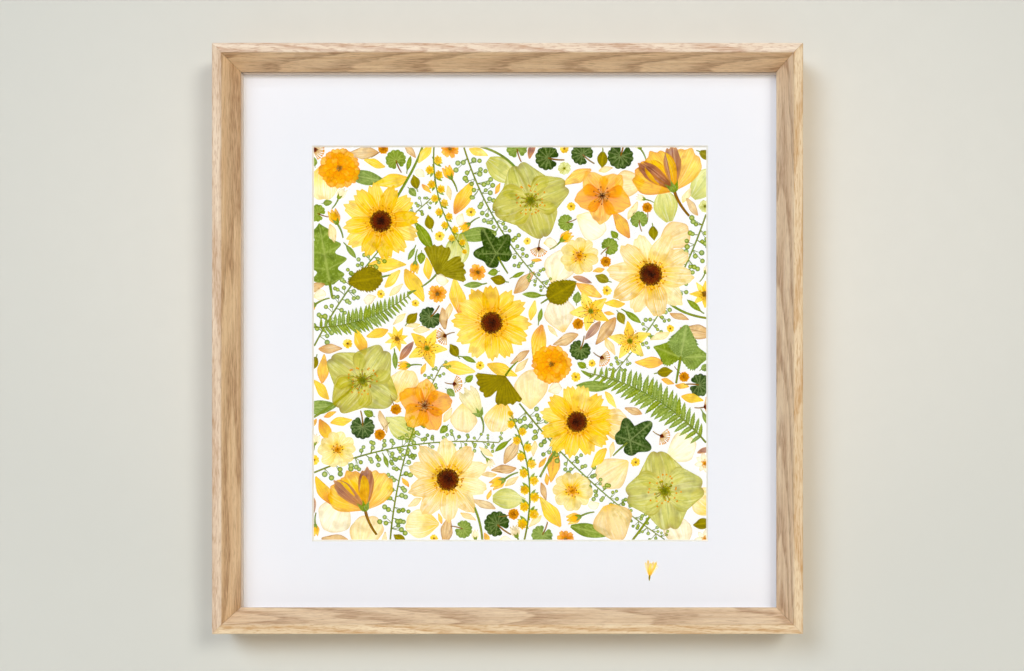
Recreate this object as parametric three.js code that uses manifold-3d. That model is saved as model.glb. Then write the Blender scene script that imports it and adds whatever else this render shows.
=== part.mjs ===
// A pressed flower picture in a light oak box frame, hung on a wall.
// Millimetres, +Z up, +X to the viewer's right; the viewer looks along +Y at the front.
// The origin is the point on the wall where the nail holds the hanger of the top rail.
import * as THREE from "three";
import { mergeVertices } from "three/addons/utils/BufferGeometryUtils.js";
import Module from "manifold-3d";

const wasm = await Module();
wasm.setup();

// Oak rails: a flat front face, a sloping inner side, a thin lip over the glass and a rebate behind it
const OUTER = 500;
const RAIL_DEPTH = 40;
const FACE = 8;
const SLOPE_WIDTH = 11.2;
const SLOPE_DEPTH = 22;
const LIP = 2;
const RAIL_WALL = 12;
const ARRIS = 0.6;
const MITRE_GAP = 0.1;

// The pack that lies in the rebate, from the glass back
const FIT_GAP = 0.4;
const GLASS = 2;
const SPACER = 5;
const SPACER_WIDE = 7.7;
const SPACER_SLIM = 5.7;
const MAT = 1.4;
const WINDOW = 340.4;
const WINDOW_ASIDE = 1;
const WINDOW_DROP = 3;
const BOARD = 1.5;
const BACKING = 3;

// Fittings on the back
const BUMPER = 2.5;
const BUMPER_RADIUS = 5;
const HANGER_LENGTH = 46;
const HANGER_HEIGHT = 9;
const HANGER_SHEET = 0.8;
const HANGER_LIFT = 1.2;
const HANGER_FOOT = 9;
const HANGER_TEETH = 9;
const TOOTH_DEPTH = 1.6;
const SCREW_RADIUS = 1.7;
const SCREW_HEAD = 0.7;
const TAB = { length: 14, width: 6, thick: 0.5 };
const TAB_SPREAD = 150;

// Pressed tissue
const PETAL = 0.5;
const LEAF = 0.45;
const STEM = 0.9;
const DISC = 1.5;
const TRIM = 0.3;

// Depths: the wall is at y = 0 and the rails' back stands off it by the bumpers
const RAIL_BACK = -BUMPER;
const FRONT = RAIL_BACK - RAIL_DEPTH;
const GLASS_FRONT = FRONT + SLOPE_DEPTH + LIP;
const SPACER_FRONT = GLASS_FRONT + GLASS;
const MAT_FRONT = SPACER_FRONT + SPACER;
const BOARD_FRONT = MAT_FRONT + MAT;
const BACKING_FRONT = BOARD_FRONT + BOARD;
const BACKING_BACK = BACKING_FRONT + BACKING;

const HALF = OUTER / 2;
const PACK = OUTER - 2 * (RAIL_WALL + FIT_GAP);
const HANG_DROP = RAIL_WALL / 2;
const CENTRE_Z = HANG_DROP - HALF;
const DEGREE = Math.PI / 180;

// Materials
const finish = (color, roughness, metalness = 0) =>
  new THREE.MeshStandardMaterial({ color, roughness, metalness });
const OAK = finish(0xe2c49c, 0.55);
const CLEAR_GLASS = finish(0xf4f8f6, 0.05);
CLEAR_GLASS.transparent = true;
CLEAR_GLASS.opacity = 0.15;
const WHITE_CARD = finish(0xf3f4f8, 0.9);
const WHITE_BOARD = finish(0xfcfcfc, 0.9);
const HARDBOARD = finish(0x8a6747, 0.8);
const STEEL = finish(0xb8b6ae, 0.35, 1);
const RUBBER = finish(0x3b3a38, 0.8);
const GOLD = finish(0xf4b62c, 0.75);
const YELLOW = finish(0xf6d14a, 0.75);
const CREAM = finish(0xf6e6b4, 0.75);
const LIME = finish(0xc6cc7e, 0.75);
const ORANGE = finish(0xf2961e, 0.75);
const GREEN = finish(0x5f8a35, 0.75);
const DARK_GREEN = finish(0x2f5a2c, 0.75);
const OLIVE = finish(0x8d8b2c, 0.75);

// Solids

// A closed geometry as a manifold solid with its faces pointing out.
function toSolid(geometry) {
  const bare = geometry.clone();
  bare.deleteAttribute("normal");
  bare.deleteAttribute("uv");
  const merged = mergeVertices(bare, 1e-4);
  const triVerts = new Uint32Array(merged.index.array);
  const vertProperties = merged.attributes.position.array;
  const solid = new wasm.Manifold(new wasm.Mesh({ numProp: 3, vertProperties, triVerts }));
  if (solid.volume() > 0) return solid;
  const flipped = triVerts.map((_, i) => triVerts[i - (i % 3) + 2 - (i % 3)]);
  return new wasm.Manifold(new wasm.Mesh({ numProp: 3, vertProperties, triVerts: flipped }));
}

function toGeometry(solid) {
  const mesh = solid.getMesh();
  return new THREE.BufferGeometry()
    .setAttribute("position", new THREE.BufferAttribute(mesh.vertProperties, 3))
    .setIndex(new THREE.BufferAttribute(mesh.triVerts, 1));
}

const fuse = (solids) => solids.reduce((whole, piece) => whole.add(piece));

// Turns a piece that was drawn flat, in x and y with its thickness along z, to face the viewer.
const STAND = new THREE.Matrix4().set(1, 0, 0, 0, 0, 0, -1, 0, 0, 1, 0, 0, 0, 0, 0, 1);

function addMesh(group, name, geometry, material, x = 0, y = 0, z = 0, turn = 0) {
  const mesh = new THREE.Mesh(geometry, material);
  mesh.name = name;
  mesh.position.set(x, y, z);
  mesh.rotation.y = -turn * DEGREE;
  group.add(mesh);
  return mesh;
}

// Oak frame

// The top rail; its ends are cut at 45 degrees because the half length falls with the inward distance u.
function railGeometry() {
  const slopeFoot = FACE + SLOPE_WIDTH;
  const rebate = SLOPE_DEPTH + LIP;
  const profile = new THREE.Shape(
    [
      [0, ARRIS],
      [ARRIS, 0],
      [FACE - ARRIS, 0],
      [FACE, ARRIS],
      [slopeFoot, SLOPE_DEPTH],
      [slopeFoot, rebate],
      [RAIL_WALL, rebate],
      [RAIL_WALL, RAIL_DEPTH],
      [0, RAIL_DEPTH],
    ].map(([u, v]) => new THREE.Vector2(u, v)),
  );
  const bar = new THREE.ExtrudeGeometry(profile, { depth: 1, bevelEnabled: false });
  const at = bar.attributes.position;
  for (let i = 0; i < at.count; i++) {
    const u = at.getX(i);
    const v = at.getY(i);
    const end = at.getZ(i) > 0.5 ? 1 : -1;
    at.setXYZ(i, end * (HALF - u - MITRE_GAP), FRONT + v, HALF - u);
  }
  return toGeometry(toSolid(bar));
}

function addRails(group) {
  const rail = railGeometry();
  ["rail_top", "rail_left", "rail_bottom", "rail_right"].forEach((name, quarter) =>
    addMesh(group, name, rail, OAK, 0, 0, 0, quarter * 90),
  );
}

// Glass, spacers, window mat, flower board and backing

const plate = (width, thick, height) => new THREE.BoxGeometry(width, thick, height);

// The spacers on the left and at the top reach past the lip, the other two stay behind it.
function addSpacers(group) {
  const y = SPACER_FRONT + SPACER / 2;
  const wideAt = (PACK - SPACER_WIDE) / 2;
  const slimAt = (PACK - SPACER_SLIM) / 2;
  const between = PACK - SPACER_WIDE - SPACER_SLIM - 2 * FIT_GAP;
  const low = (SPACER_SLIM - SPACER_WIDE) / 2;
  addMesh(group, "spacer_top", plate(PACK, SPACER, SPACER_WIDE), WHITE_CARD, 0, y, wideAt);
  addMesh(group, "spacer_bottom", plate(PACK, SPACER, SPACER_SLIM), WHITE_CARD, 0, y, -slimAt);
  addMesh(group, "spacer_left", plate(SPACER_WIDE, SPACER, between), WHITE_CARD, -wideAt, y, low);
  addMesh(group, "spacer_right", plate(SPACER_SLIM, SPACER, between), WHITE_CARD, slimAt, y, low);
}

function square(side, aside = 0, drop = 0) {
  const h = side / 2;
  const corners = [[-h, -h], [h, -h], [h, h], [-h, h]];
  return corners.map(([x, y]) => new THREE.Vector2(x + aside, y - drop));
}

// The mat's window is cut at 45 degrees, so it is wider at the front by the card's thickness.
function matGeometry() {
  const card = new THREE.Shape(square(PACK));
  card.holes.push(new THREE.Path(square(WINDOW, WINDOW_ASIDE, WINDOW_DROP)));
  const sheet = new THREE.ExtrudeGeometry(card, { depth: MAT, bevelEnabled: false });
  const at = sheet.attributes.position;
  const widen = (WINDOW + 2 * MAT) / WINDOW;
  for (let i = 0; i < at.count; i++) {
    const onWindow = Math.abs(at.getX(i)) < PACK / 2 - 1;
    if (!onWindow || at.getZ(i) < MAT / 2) continue;
    at.setX(i, (at.getX(i) - WINDOW_ASIDE) * widen + WINDOW_ASIDE);
    at.setY(i, (at.getY(i) + WINDOW_DROP) * widen - WINDOW_DROP);
  }
  return toGeometry(toSolid(sheet)).applyMatrix4(STAND);
}

function addPack(group) {
  addMesh(group, "glass", plate(PACK, GLASS, PACK), CLEAR_GLASS, 0, GLASS_FRONT + GLASS / 2);
  addSpacers(group);
  addMesh(group, "mat", matGeometry(), WHITE_CARD, 0, BOARD_FRONT);
  addMesh(group, "flower_board", plate(PACK, BOARD, PACK), WHITE_BOARD, 0, BOARD_FRONT + BOARD / 2);
  addMesh(group, "backing", plate(PACK, BACKING, PACK), HARDBOARD, 0, BACKING_FRONT + BACKING / 2);
}

// Fittings on the back

// A bridge of sheet steel whose lower edge is cut into teeth for the nail.
function hangerGeometry() {
  const end = HANGER_LENGTH / 2;
  const foot = end - HANGER_FOOT;
  const rise = foot - 2 * HANGER_LIFT;
  const top = HANGER_LIFT + HANGER_SHEET;
  const bridge = new THREE.Shape(
    [
      [-end, 0], [-foot, 0], [-rise, HANGER_LIFT], [rise, HANGER_LIFT], [foot, 0], [end, 0],
      [end, HANGER_SHEET], [foot, HANGER_SHEET], [rise, top], [-rise, top],
      [-foot, HANGER_SHEET], [-end, HANGER_SHEET],
    ].map(([x, y]) => new THREE.Vector2(x, y)),
  );
  let strip = toSolid(new THREE.ExtrudeGeometry(bridge, { depth: HANGER_HEIGHT, bevelEnabled: false }));
  const pitch = (2 * rise) / (HANGER_TEETH + 1);
  for (let i = 0; i < HANGER_TEETH; i++) {
    const x = (i - (HANGER_TEETH - 1) / 2) * pitch;
    const notch = new THREE.CylinderGeometry(TOOTH_DEPTH, TOOTH_DEPTH, 4 * HANGER_LIFT, 4);
    notch.translate(x, HANGER_LIFT, 0);
    strip = strip.subtract(toSolid(notch));
  }
  return toGeometry(strip).translate(0, 0, -HANGER_HEIGHT / 2);
}

function addFittings(group) {
  const hangerZ = HALF - HANG_DROP;
  addMesh(group, "hanger", hangerGeometry(), STEEL, 0, RAIL_BACK, hangerZ);
  const head = new THREE.CylinderGeometry(SCREW_RADIUS * 0.7, SCREW_RADIUS, SCREW_HEAD, 12);
  const bumper = new THREE.CylinderGeometry(BUMPER_RADIUS * 0.85, BUMPER_RADIUS, BUMPER, 16);
  const rest = HALF - HANG_DROP;
  for (const [side, sign] of [["left", -1], ["right", 1]]) {
    const screwX = sign * (HANGER_LENGTH - HANGER_FOOT) / 2;
    const screwY = RAIL_BACK + HANGER_SHEET + SCREW_HEAD / 2;
    addMesh(group, "hanger_screw_" + side, head, STEEL, screwX, screwY, hangerZ);
    addMesh(group, "bumper_" + side, bumper, RUBBER, sign * rest, RAIL_BACK + BUMPER / 2, -rest);
  }
  const tabY = BACKING_BACK + TAB.thick / 2;
  const tabRadius = PACK / 2 - TAB.length / 2;
  ["top", "left", "bottom", "right"].forEach((side, quarter) => {
    const edge = new THREE.Group();
    edge.rotation.y = -quarter * 90 * DEGREE;
    group.add(edge);
    [-1, 1].forEach((way, i) =>
      addMesh(edge, "tab_" + side + "_" + (i + 1), plate(TAB.width, TAB.thick, TAB.length), STEEL,
        way * TAB_SPREAD / 2, tabY, tabRadius),
    );
  });
}

// Pressed plants, each drawn flat in x and y with its back on z = 0

// A petal or simple leaf grows along +y. Its width opens from base to peak and closes by taper;
// round, notch and teeth shape the tip. Widths are shares of the length.
const FORMS = {
  coreopsis: { width: 0.44, base: 0.25, peak: 0.8, taper: 0.1, round: 0.16, notch: 0, teeth: 0.04 },
  cosmos: { width: 0.5, base: 0.2, peak: 0.75, taper: 0.2, round: 0.2, notch: 0, teeth: 0.02 },
  dogwood: { width: 1.02, base: 0.25, peak: 0.55, taper: 0.3, round: 0.4, notch: 0.14, teeth: 0 },
  primrose: { width: 0.98, base: 0.16, peak: 0.8, taper: 0.05, round: 0.3, notch: 0.26, teeth: 0 },
  nasturtium: { width: 0.98, base: 0.1, peak: 0.72, taper: 0.2, round: 0.36, notch: 0, teeth: 0.02 },
  wort: { width: 0.52, base: 0.3, peak: 0.6, taper: 0.5, round: 0.3, notch: 0, teeth: 0 },
  pompom: { width: 0.52, base: 0.5, peak: 0.8, taper: 0.1, round: 0.2, notch: 0.1, teeth: 0 },
  poppy: { width: 0.8, base: 0.16, peak: 0.85, taper: 0.1, round: 0.2, notch: 0, teeth: 0.03 },
  bell: { width: 0.62, base: 0.3, peak: 0.95, taper: 0, round: 0.02, notch: 0, teeth: 0.09 },
  calyx: { width: 0.7, base: 0.4, peak: 0.4, taper: 0.8, round: 0.3, notch: 0, teeth: 0 },
  rose: { width: 1.05, base: 0.2, peak: 0.7, taper: 0.25, round: 0.38, notch: 0.05, teeth: 0 },
  leaflet: { width: 0.9, base: 0.15, peak: 0.55, taper: 0.6, round: 0.3, notch: 0, teeth: 0 },
  birch: { width: 0.72, base: 0.3, peak: 0.35, taper: 0.94, round: 0, notch: 0, teeth: 0, sides: 4 },
  pinna: { width: 0.3, base: 0.7, peak: 0.3, taper: 0.95, round: 0, notch: 0, teeth: 0 },
};
const SIDE_STEPS = 2;
const PLAIN_TIP = 4;
const TOOTHED_TIP = 6;

function petalPoint(form, length, s, t) {
  const open = form.base + (1 - form.base) * Math.sin((Math.PI / 2) * Math.min(1, t / form.peak));
  const past = Math.max(0, (t - form.peak) / (1 - form.peak));
  const half = (form.width * length * open * (1 - form.taper * past * past)) / 2;
  const reach = 1 - form.round * s * s - form.notch * (1 - Math.abs(s)) ** 2
    + form.teeth * (Math.cos(3 * Math.PI * s) - 1);
  return new THREE.Vector2(s * half, length * t * reach);
}

function petalOutline(form, length) {
  const points = [];
  const sides = form.sides ?? SIDE_STEPS;
  for (let i = 0; i < sides; i++) points.push(petalPoint(form, length, 1, i / sides));
  const blunt = form.taper < 0.9;
  const tip = form.teeth > 0.04 ? TOOTHED_TIP : PLAIN_TIP;
  for (let i = 0; blunt && i <= tip; i++) points.push(petalPoint(form, length, 1 - (2 * i) / tip, 1));
  if (!blunt) points.push(petalPoint(form, length, 0, 1));
  for (let i = sides - 1; i >= 0; i--) points.push(petalPoint(form, length, -1, i / sides));
  return points;
}

const flat = (points, thick) =>
  new THREE.ExtrudeGeometry(new THREE.Shape(points), { depth: thick, bevelEnabled: false });

// A petal that starts at (x, y) and points turn degrees anticlockwise from +y.
function petal(form, length, turn = 0, thick = PETAL, x = 0, y = 0) {
  return toSolid(flat(petalOutline(form, length), thick).rotateZ(turn * DEGREE).translate(x, y, 0));
}

function disc(radius, thick = DISC, x = 0, y = 0, sides = 12) {
  const round = new THREE.Shape();
  round.absarc(0, 0, radius, 0, 2 * Math.PI);
  const options = { depth: thick, bevelEnabled: false, curveSegments: sides / 2 };
  const geometry = new THREE.ExtrudeGeometry(round, options);
  return toSolid(geometry.translate(x, y, 0));
}

const polar = (radius, degrees) =>
  new THREE.Vector2(-radius * Math.sin(degrees * DEGREE), radius * Math.cos(degrees * DEGREE));

// A stalk along a quadratic curve, tapering from wide to narrow.
function stalk(from, bend, to, wide, narrow, thick = STEM, steps = 5) {
  const curve = new THREE.QuadraticBezierCurve(from, bend, to);
  const left = [];
  const right = [];
  for (let i = 0; i <= steps; i++) {
    const at = curve.getPoint(i / steps);
    const along = curve.getTangent(i / steps);
    const half = THREE.MathUtils.lerp(wide, narrow, i / steps) / 2;
    left.push(new THREE.Vector2(at.x - along.y * half, at.y + along.x * half));
    right.unshift(new THREE.Vector2(at.x + along.y * half, at.y - along.x * half));
  }
  return toSolid(flat([...right, ...left].reverse(), thick));
}

const straight = (fromX, fromY, toX, toY, wide, narrow) => {
  const from = new THREE.Vector2(fromX, fromY);
  const to = new THREE.Vector2(toX, toY);
  return stalk(from, from.clone().lerp(to, 0.5), to, wide, narrow, STEM, 1);
};

// The right half of a petal from the line midway to its neighbour, where the two edges cross, to its tip.
function petalFromCrossing(form, radius, petals) {
  const outline = petalOutline(form, radius);
  const half = outline.slice(0, (outline.length + 1) / 2);
  const slope = Math.tan(Math.PI / petals);
  const past = half.map((p) => p.x - slope * p.y);
  const last = past.findLastIndex((distance) => distance > 0);
  const share = past[last] / (past[last] - past[last + 1]);
  return [half[last].clone().lerp(half[last + 1], share), ...half.slice(last + 1)];
}

// Open flowers seen from the front: one sheet of petals under a disc.
function flower(form, petals, eye) {
  return (size) => {
    const right = petalFromCrossing(form, size / 2, petals);
    const left = right.slice(1, -1).reverse().map((p) => new THREE.Vector2(-p.x, p.y));
    const whorl = [];
    for (let i = 0; i < petals; i++) {
      const turn = (2 * Math.PI * i) / petals;
      for (const p of [...right, ...left]) whorl.push(p.clone().rotateAround(new THREE.Vector2(), turn));
    }
    return toSolid(flat(whorl, PETAL)).add(disc(eye * size));
  };
}

const coreopsis = flower(FORMS.coreopsis, 12, 0.13);
const cosmos = flower(FORMS.cosmos, 10, 0.13);
const dogwood = flower(FORMS.dogwood, 4, 0.07);
const primrose = flower(FORMS.primrose, 5, 0.06);
const nasturtium = flower(FORMS.nasturtium, 5, 0.07);
const wort = flower(FORMS.wort, 5, 0.1);
const pompom = flower(FORMS.pompom, 10, 0.22);

// Flowers pressed from the side: a cup of petals on a stalk, or one bell.
function poppy(size) {
  const cup = size * 0.6;
  const fan = [-42, -15, 15, 42].map((turn) => petal(FORMS.poppy, cup, turn));
  const stem = stalk(polar(0, 0), polar(0.2 * size, 175), polar(0.42 * size, 190), 0.05 * size, 0.035 * size);
  return fuse([...fan, petal(FORMS.calyx, 0.22 * size, 0, DISC, 0, -0.05 * size), stem]);
}

function bell(size) {
  const cup = petal(FORMS.bell, 0.62 * size, 0);
  const stem = stalk(polar(0, 0), polar(0.2 * size, 180), polar(0.36 * size, 158), 0.05 * size, 0.03 * size);
  return fuse([cup, petal(FORMS.calyx, 0.24 * size, 0, DISC, 0, -0.04 * size), stem]);
}

// Leaves
const IVY_LOBES = [[0, 0.62], [62, 0.5], [-62, 0.5], [122, 0.34], [-122, 0.34]];
const IVY_CORE = 0.3;
const IVY_LOBE_WIDTH = 21;

function ivyReach(degrees) {
  const lobe = ([at, reach]) => {
    const away = ((degrees - at + 540) % 360) - 180;
    return IVY_CORE + (reach - IVY_CORE) * Math.exp(-((away / IVY_LOBE_WIDTH) ** 2));
  };
  const stalkNotch = 0.16 * Math.exp(-(((Math.abs(degrees) - 180) / 16) ** 2));
  return Math.max(...IVY_LOBES.map(lobe)) - stalkNotch;
}

function ivy(size) {
  const outline = [];
  for (let degrees = -180; degrees < 180; degrees += 10) {
    outline.push(polar(size * ivyReach(degrees), degrees));
  }
  const stem = straight(0, -0.1 * size, 0, -0.5 * size, 0.05 * size, 0.03 * size);
  return fuse([toSolid(flat(outline, LEAF)), stem]);
}

const GINKGO_SPREAD = 66;
const ginkgoReach = (degrees) =>
  0.6 + 0.02 * Math.cos(degrees * 0.42) - 0.26 * Math.exp(-((degrees / 5) ** 2));

function ginkgo(size) {
  const outline = [polar(0.02 * size, -120), polar(0.02 * size, 120)];
  for (let degrees = GINKGO_SPREAD; degrees >= -GINKGO_SPREAD; degrees -= 6) {
    outline.push(polar(size * ginkgoReach(degrees), degrees));
  }
  const stem = stalk(polar(0, 0), polar(0.2 * size, 180), polar(0.4 * size, 170), 0.05 * size, 0.03 * size);
  return fuse([toSolid(flat(outline, LEAF)), stem]);
}

function strawberry(size) {
  const leaflets = [[0, 0.56], [78, 0.48], [-78, 0.48]].map(([turn, reach]) =>
    petal(FORMS.leaflet, reach * size, turn, LEAF));
  return fuse([...leaflets, straight(0, 0.02 * size, 0, -0.44 * size, 0.05 * size, 0.035 * size)]);
}

function birch(size) {
  const blade = petal(FORMS.birch, 0.8 * size, 0, LEAF, 0, -0.3 * size);
  return fuse([blade, straight(0, -0.25 * size, 0, -0.5 * size, 0.05 * size, 0.03 * size)]);
}

const OAK_LOBES = 4;
function oakLeaf(size) {
  const lobe = (t) => 1 - 0.32 * Math.cos(2 * Math.PI * OAK_LOBES * t);
  const half = (t) => 0.2 * Math.sin(Math.PI * t ** 0.75) ** 0.7 * lobe(t);
  const side = Array.from({ length: 25 }, (_, i) => i / 25).slice(1);
  const edge = (t, way) => new THREE.Vector2(way * size * (0.02 + half(t)), size * (0.84 * t - 0.34));
  const outline = [...side.map((t) => edge(t, 1)), edge(1, 0), ...side.reverse().map((t) => edge(t, -1))];
  const stem = straight(0, -0.3 * size, 0, -0.5 * size, 0.04 * size, 0.03 * size);
  return fuse([toSolid(flat(outline, LEAF)), stem]);
}

const rosePetal = (size) => petal(FORMS.rose, size, 0, PETAL, 0, -size / 2);

// Sprays on a curved spine that starts at the origin and runs along +y.
const SPRAY_BOW = 0.09;
const spineAt = (size, t) => new THREE.Vector2(SPRAY_BOW * size * 4 * t * (1 - t), size * t);
function spine(size) {
  const bend = new THREE.Vector2(2 * SPRAY_BOW * size, size / 2);
  return stalk(spineAt(size, 0), bend, spineAt(size, 1), 0.014 * size, 0.006 * size, STEM, 8);
}

const FERN_PAIRS = 11;
function fern(size) {
  const pieces = [spine(size)];
  for (let i = 0; i < FERN_PAIRS; i++) {
    const t = 0.08 + (0.88 * i) / FERN_PAIRS;
    const length = size * 0.135 * Math.sin(Math.PI * (0.16 + 0.8 * t)) ** 0.8;
    const at = spineAt(size, t);
    for (const turn of [62, -62]) pieces.push(petal(FORMS.pinna, length, turn, LEAF, at.x, at.y));
  }
  pieces.push(petal(FORMS.pinna, 0.09 * size, 0, LEAF, 0, 0.94 * size));
  return fuse(pieces);
}

const MIMOSA_BALLS = 13;
function mimosa(size) {
  const pieces = [spine(size)];
  for (let i = 0; i < MIMOSA_BALLS; i++) {
    const t = 0.14 + (0.84 * i) / MIMOSA_BALLS;
    const way = i % 2 ? 1 : -1;
    const at = spineAt(size, t);
    const radius = size * (0.046 - 0.012 * t);
    pieces.push(disc(radius, STEM, at.x + way * 0.9 * radius, at.y, 8));
  }
  pieces.push(disc(0.026 * size, STEM, 0, size, 8));
  return fuse(pieces);
}

// Layout on the board: middle of each plant (for sprays, its cut end) from the window's middle, size and turn
const SPECIMENS = [
  ["coreopsis_1", coreopsis, YELLOW, -112, 106, 72, 8],
  ["coreopsis_2", coreopsis, YELLOW, -16, 18, 72, 30],
  ["coreopsis_3", coreopsis, YELLOW, 58, -68, 68, 18],
  ["dogwood_1", dogwood, LIME, 18, 124, 80, 20],
  ["dogwood_2", dogwood, LIME, -128, -32, 78, 52],
  ["dogwood_3", dogwood, LIME, 134, -128, 78, 8],
  ["cosmos_1", cosmos, CREAM, 122, 60, 78, 12],
  ["cosmos_2", cosmos, CREAM, -54, -118, 76, 2],
  ["nasturtium_1", nasturtium, ORANGE, 80, 128, 52, 30],
  ["nasturtium_2", nasturtium, ORANGE, -74, -54, 50, 64],
  ["primrose_1", primrose, CREAM, 60, 76, 38, 14],
  ["primrose_2", primrose, CREAM, -150, -92, 38, 40],
  ["primrose_3", primrose, CREAM, 54, -128, 40, 70],
  ["pompom_1", pompom, ORANGE, 36, -18, 38, 0],
  ["pompom_2", pompom, ORANGE, -148, 152, 40, 12],
  ["wort_1", wort, GOLD, 70, 28, 38, 24],
  ["wort_2", wort, GOLD, -72, -4, 38, 50],
  ["wort_3", wort, GOLD, 104, 2, 38, 4],
  ["poppy_1", poppy, GOLD, 142, 134, 64, 20],
  ["poppy_2", poppy, GOLD, -126, -143, 60, 14],
  ["bell_1", bell, CREAM, -26, -62, 44, 30],
  ["ivy_1", ivy, DARK_GREEN, -12, 78, 40, 28],
  ["ivy_2", ivy, DARK_GREEN, 104, -84, 40, -50],
  ["ginkgo_1", ginkgo, OLIVE, -64, 60, 42, -40],
  ["ginkgo_2", ginkgo, OLIVE, -4, -28, 42, 150],
  ["strawberry_1", strawberry, GREEN, 148, -12, 52, -10],
  ["birch_1", birch, OLIVE, 42, 44, 36, -60],
  ["birch_2", birch, OLIVE, -122, 56, 38, 100],
  ["oak_leaf_1", oakLeaf, GREEN, -160, 72, 66, 10],
  ["rose_petal_1", rosePetal, CREAM, 90, -156, 34, 200],
  ["fern_1", fern, GREEN, 170, -86, 122, 60],
  ["fern_2", fern, GREEN, -170, 14, 92, -70],
  ["mimosa_1", mimosa, GOLD, 12, -172, 112, 6],
  ["mimosa_2", mimosa, GOLD, -66, 172, 96, -164],
];

// Plants that run past the window are cut off just inside it.
function trimToWindow(solid, x, z, turn) {
  const side = WINDOW - 2 * TRIM;
  const opening = new THREE.BoxGeometry(side, side, 4 * DISC).translate(-x, -z, 0).rotateZ(-turn * DEGREE);
  return solid.intersect(toSolid(opening));
}

function addSpecimens(group) {
  const picture = new THREE.Group();
  picture.position.set(WINDOW_ASIDE, BOARD_FRONT, -WINDOW_DROP);
  group.add(picture);
  for (const [name, plant, material, x, z, size, turn] of SPECIMENS) {
    const solid = trimToWindow(plant(size), x, z, turn);
    addMesh(picture, name, toGeometry(solid).applyMatrix4(STAND), material, x, 0, z, turn);
  }
}

// One small bud is fixed on the mat itself, below the window's right corner.
const MAT_BUD = { x: 122, z: -203.5, size: 17 };
function addMatBud(group) {
  const fan = [8, -2, -12, -22].map((turn) => petal(FORMS.coreopsis, 0.74 * MAT_BUD.size, turn));
  const cup = petal(FORMS.pinna, 0.38 * MAT_BUD.size, 176, LEAF, 0, 0.08 * MAT_BUD.size);
  const bud = toGeometry(fuse([...fan, cup])).applyMatrix4(STAND);
  addMesh(group, "mat_bud", bud, YELLOW, MAT_BUD.x, MAT_FRONT, MAT_BUD.z);
}

const frame = new THREE.Group();
frame.position.z = CENTRE_Z;
addRails(frame);
addPack(frame);
addFittings(frame);
addSpecimens(frame);
addMatBud(frame);

const part = new THREE.Group();
part.add(frame);
export default part;
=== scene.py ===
"""Looks of a pressed flower picture in a light oak box frame, in metres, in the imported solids' own frame."""
import math

import bmesh
import bpy
import numpy as np
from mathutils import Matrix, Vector


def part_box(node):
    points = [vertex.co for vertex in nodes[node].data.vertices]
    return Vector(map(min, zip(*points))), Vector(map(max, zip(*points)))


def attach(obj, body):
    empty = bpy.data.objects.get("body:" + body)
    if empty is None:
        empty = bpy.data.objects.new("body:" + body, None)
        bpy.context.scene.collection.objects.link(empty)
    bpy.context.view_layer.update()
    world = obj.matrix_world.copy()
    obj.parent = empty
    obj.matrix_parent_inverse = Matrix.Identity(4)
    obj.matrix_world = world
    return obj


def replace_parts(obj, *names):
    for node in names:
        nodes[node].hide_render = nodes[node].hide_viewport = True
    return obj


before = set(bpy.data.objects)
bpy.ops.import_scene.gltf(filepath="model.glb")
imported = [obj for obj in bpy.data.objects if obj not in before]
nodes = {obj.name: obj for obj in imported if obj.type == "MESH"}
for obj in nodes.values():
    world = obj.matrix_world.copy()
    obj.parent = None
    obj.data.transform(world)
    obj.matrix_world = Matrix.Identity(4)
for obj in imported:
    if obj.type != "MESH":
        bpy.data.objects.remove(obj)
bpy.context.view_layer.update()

# Measures of the frame; the plants are drawn in millimetres from the window's middle
MM = 0.001
OUTER = 500.0
WINDOW = 340.4
WINDOW_CENTRE = (1.0, -3.0)
TRIM = 0.05
FRONT_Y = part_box("rail_top")[0].y
BOARD_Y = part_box("flower_board")[0].y
MAT_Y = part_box("mat")[0].y
CENTRE_Z = (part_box("rail_top")[1].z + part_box("rail_bottom")[0].z) / 2
GOLDEN_ANGLE = math.pi * (3 - math.sqrt(5))


def srgb(red, green, blue):
    """A colour given in 0 to 255 as the linear colour that a shader takes."""
    def channel(value):
        share = value / 255
        return share / 12.92 if share <= 0.04045 else ((share + 0.055) / 1.055) ** 2.4
    return (channel(red), channel(green), channel(blue), 1.0)


# Shader graphs


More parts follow.
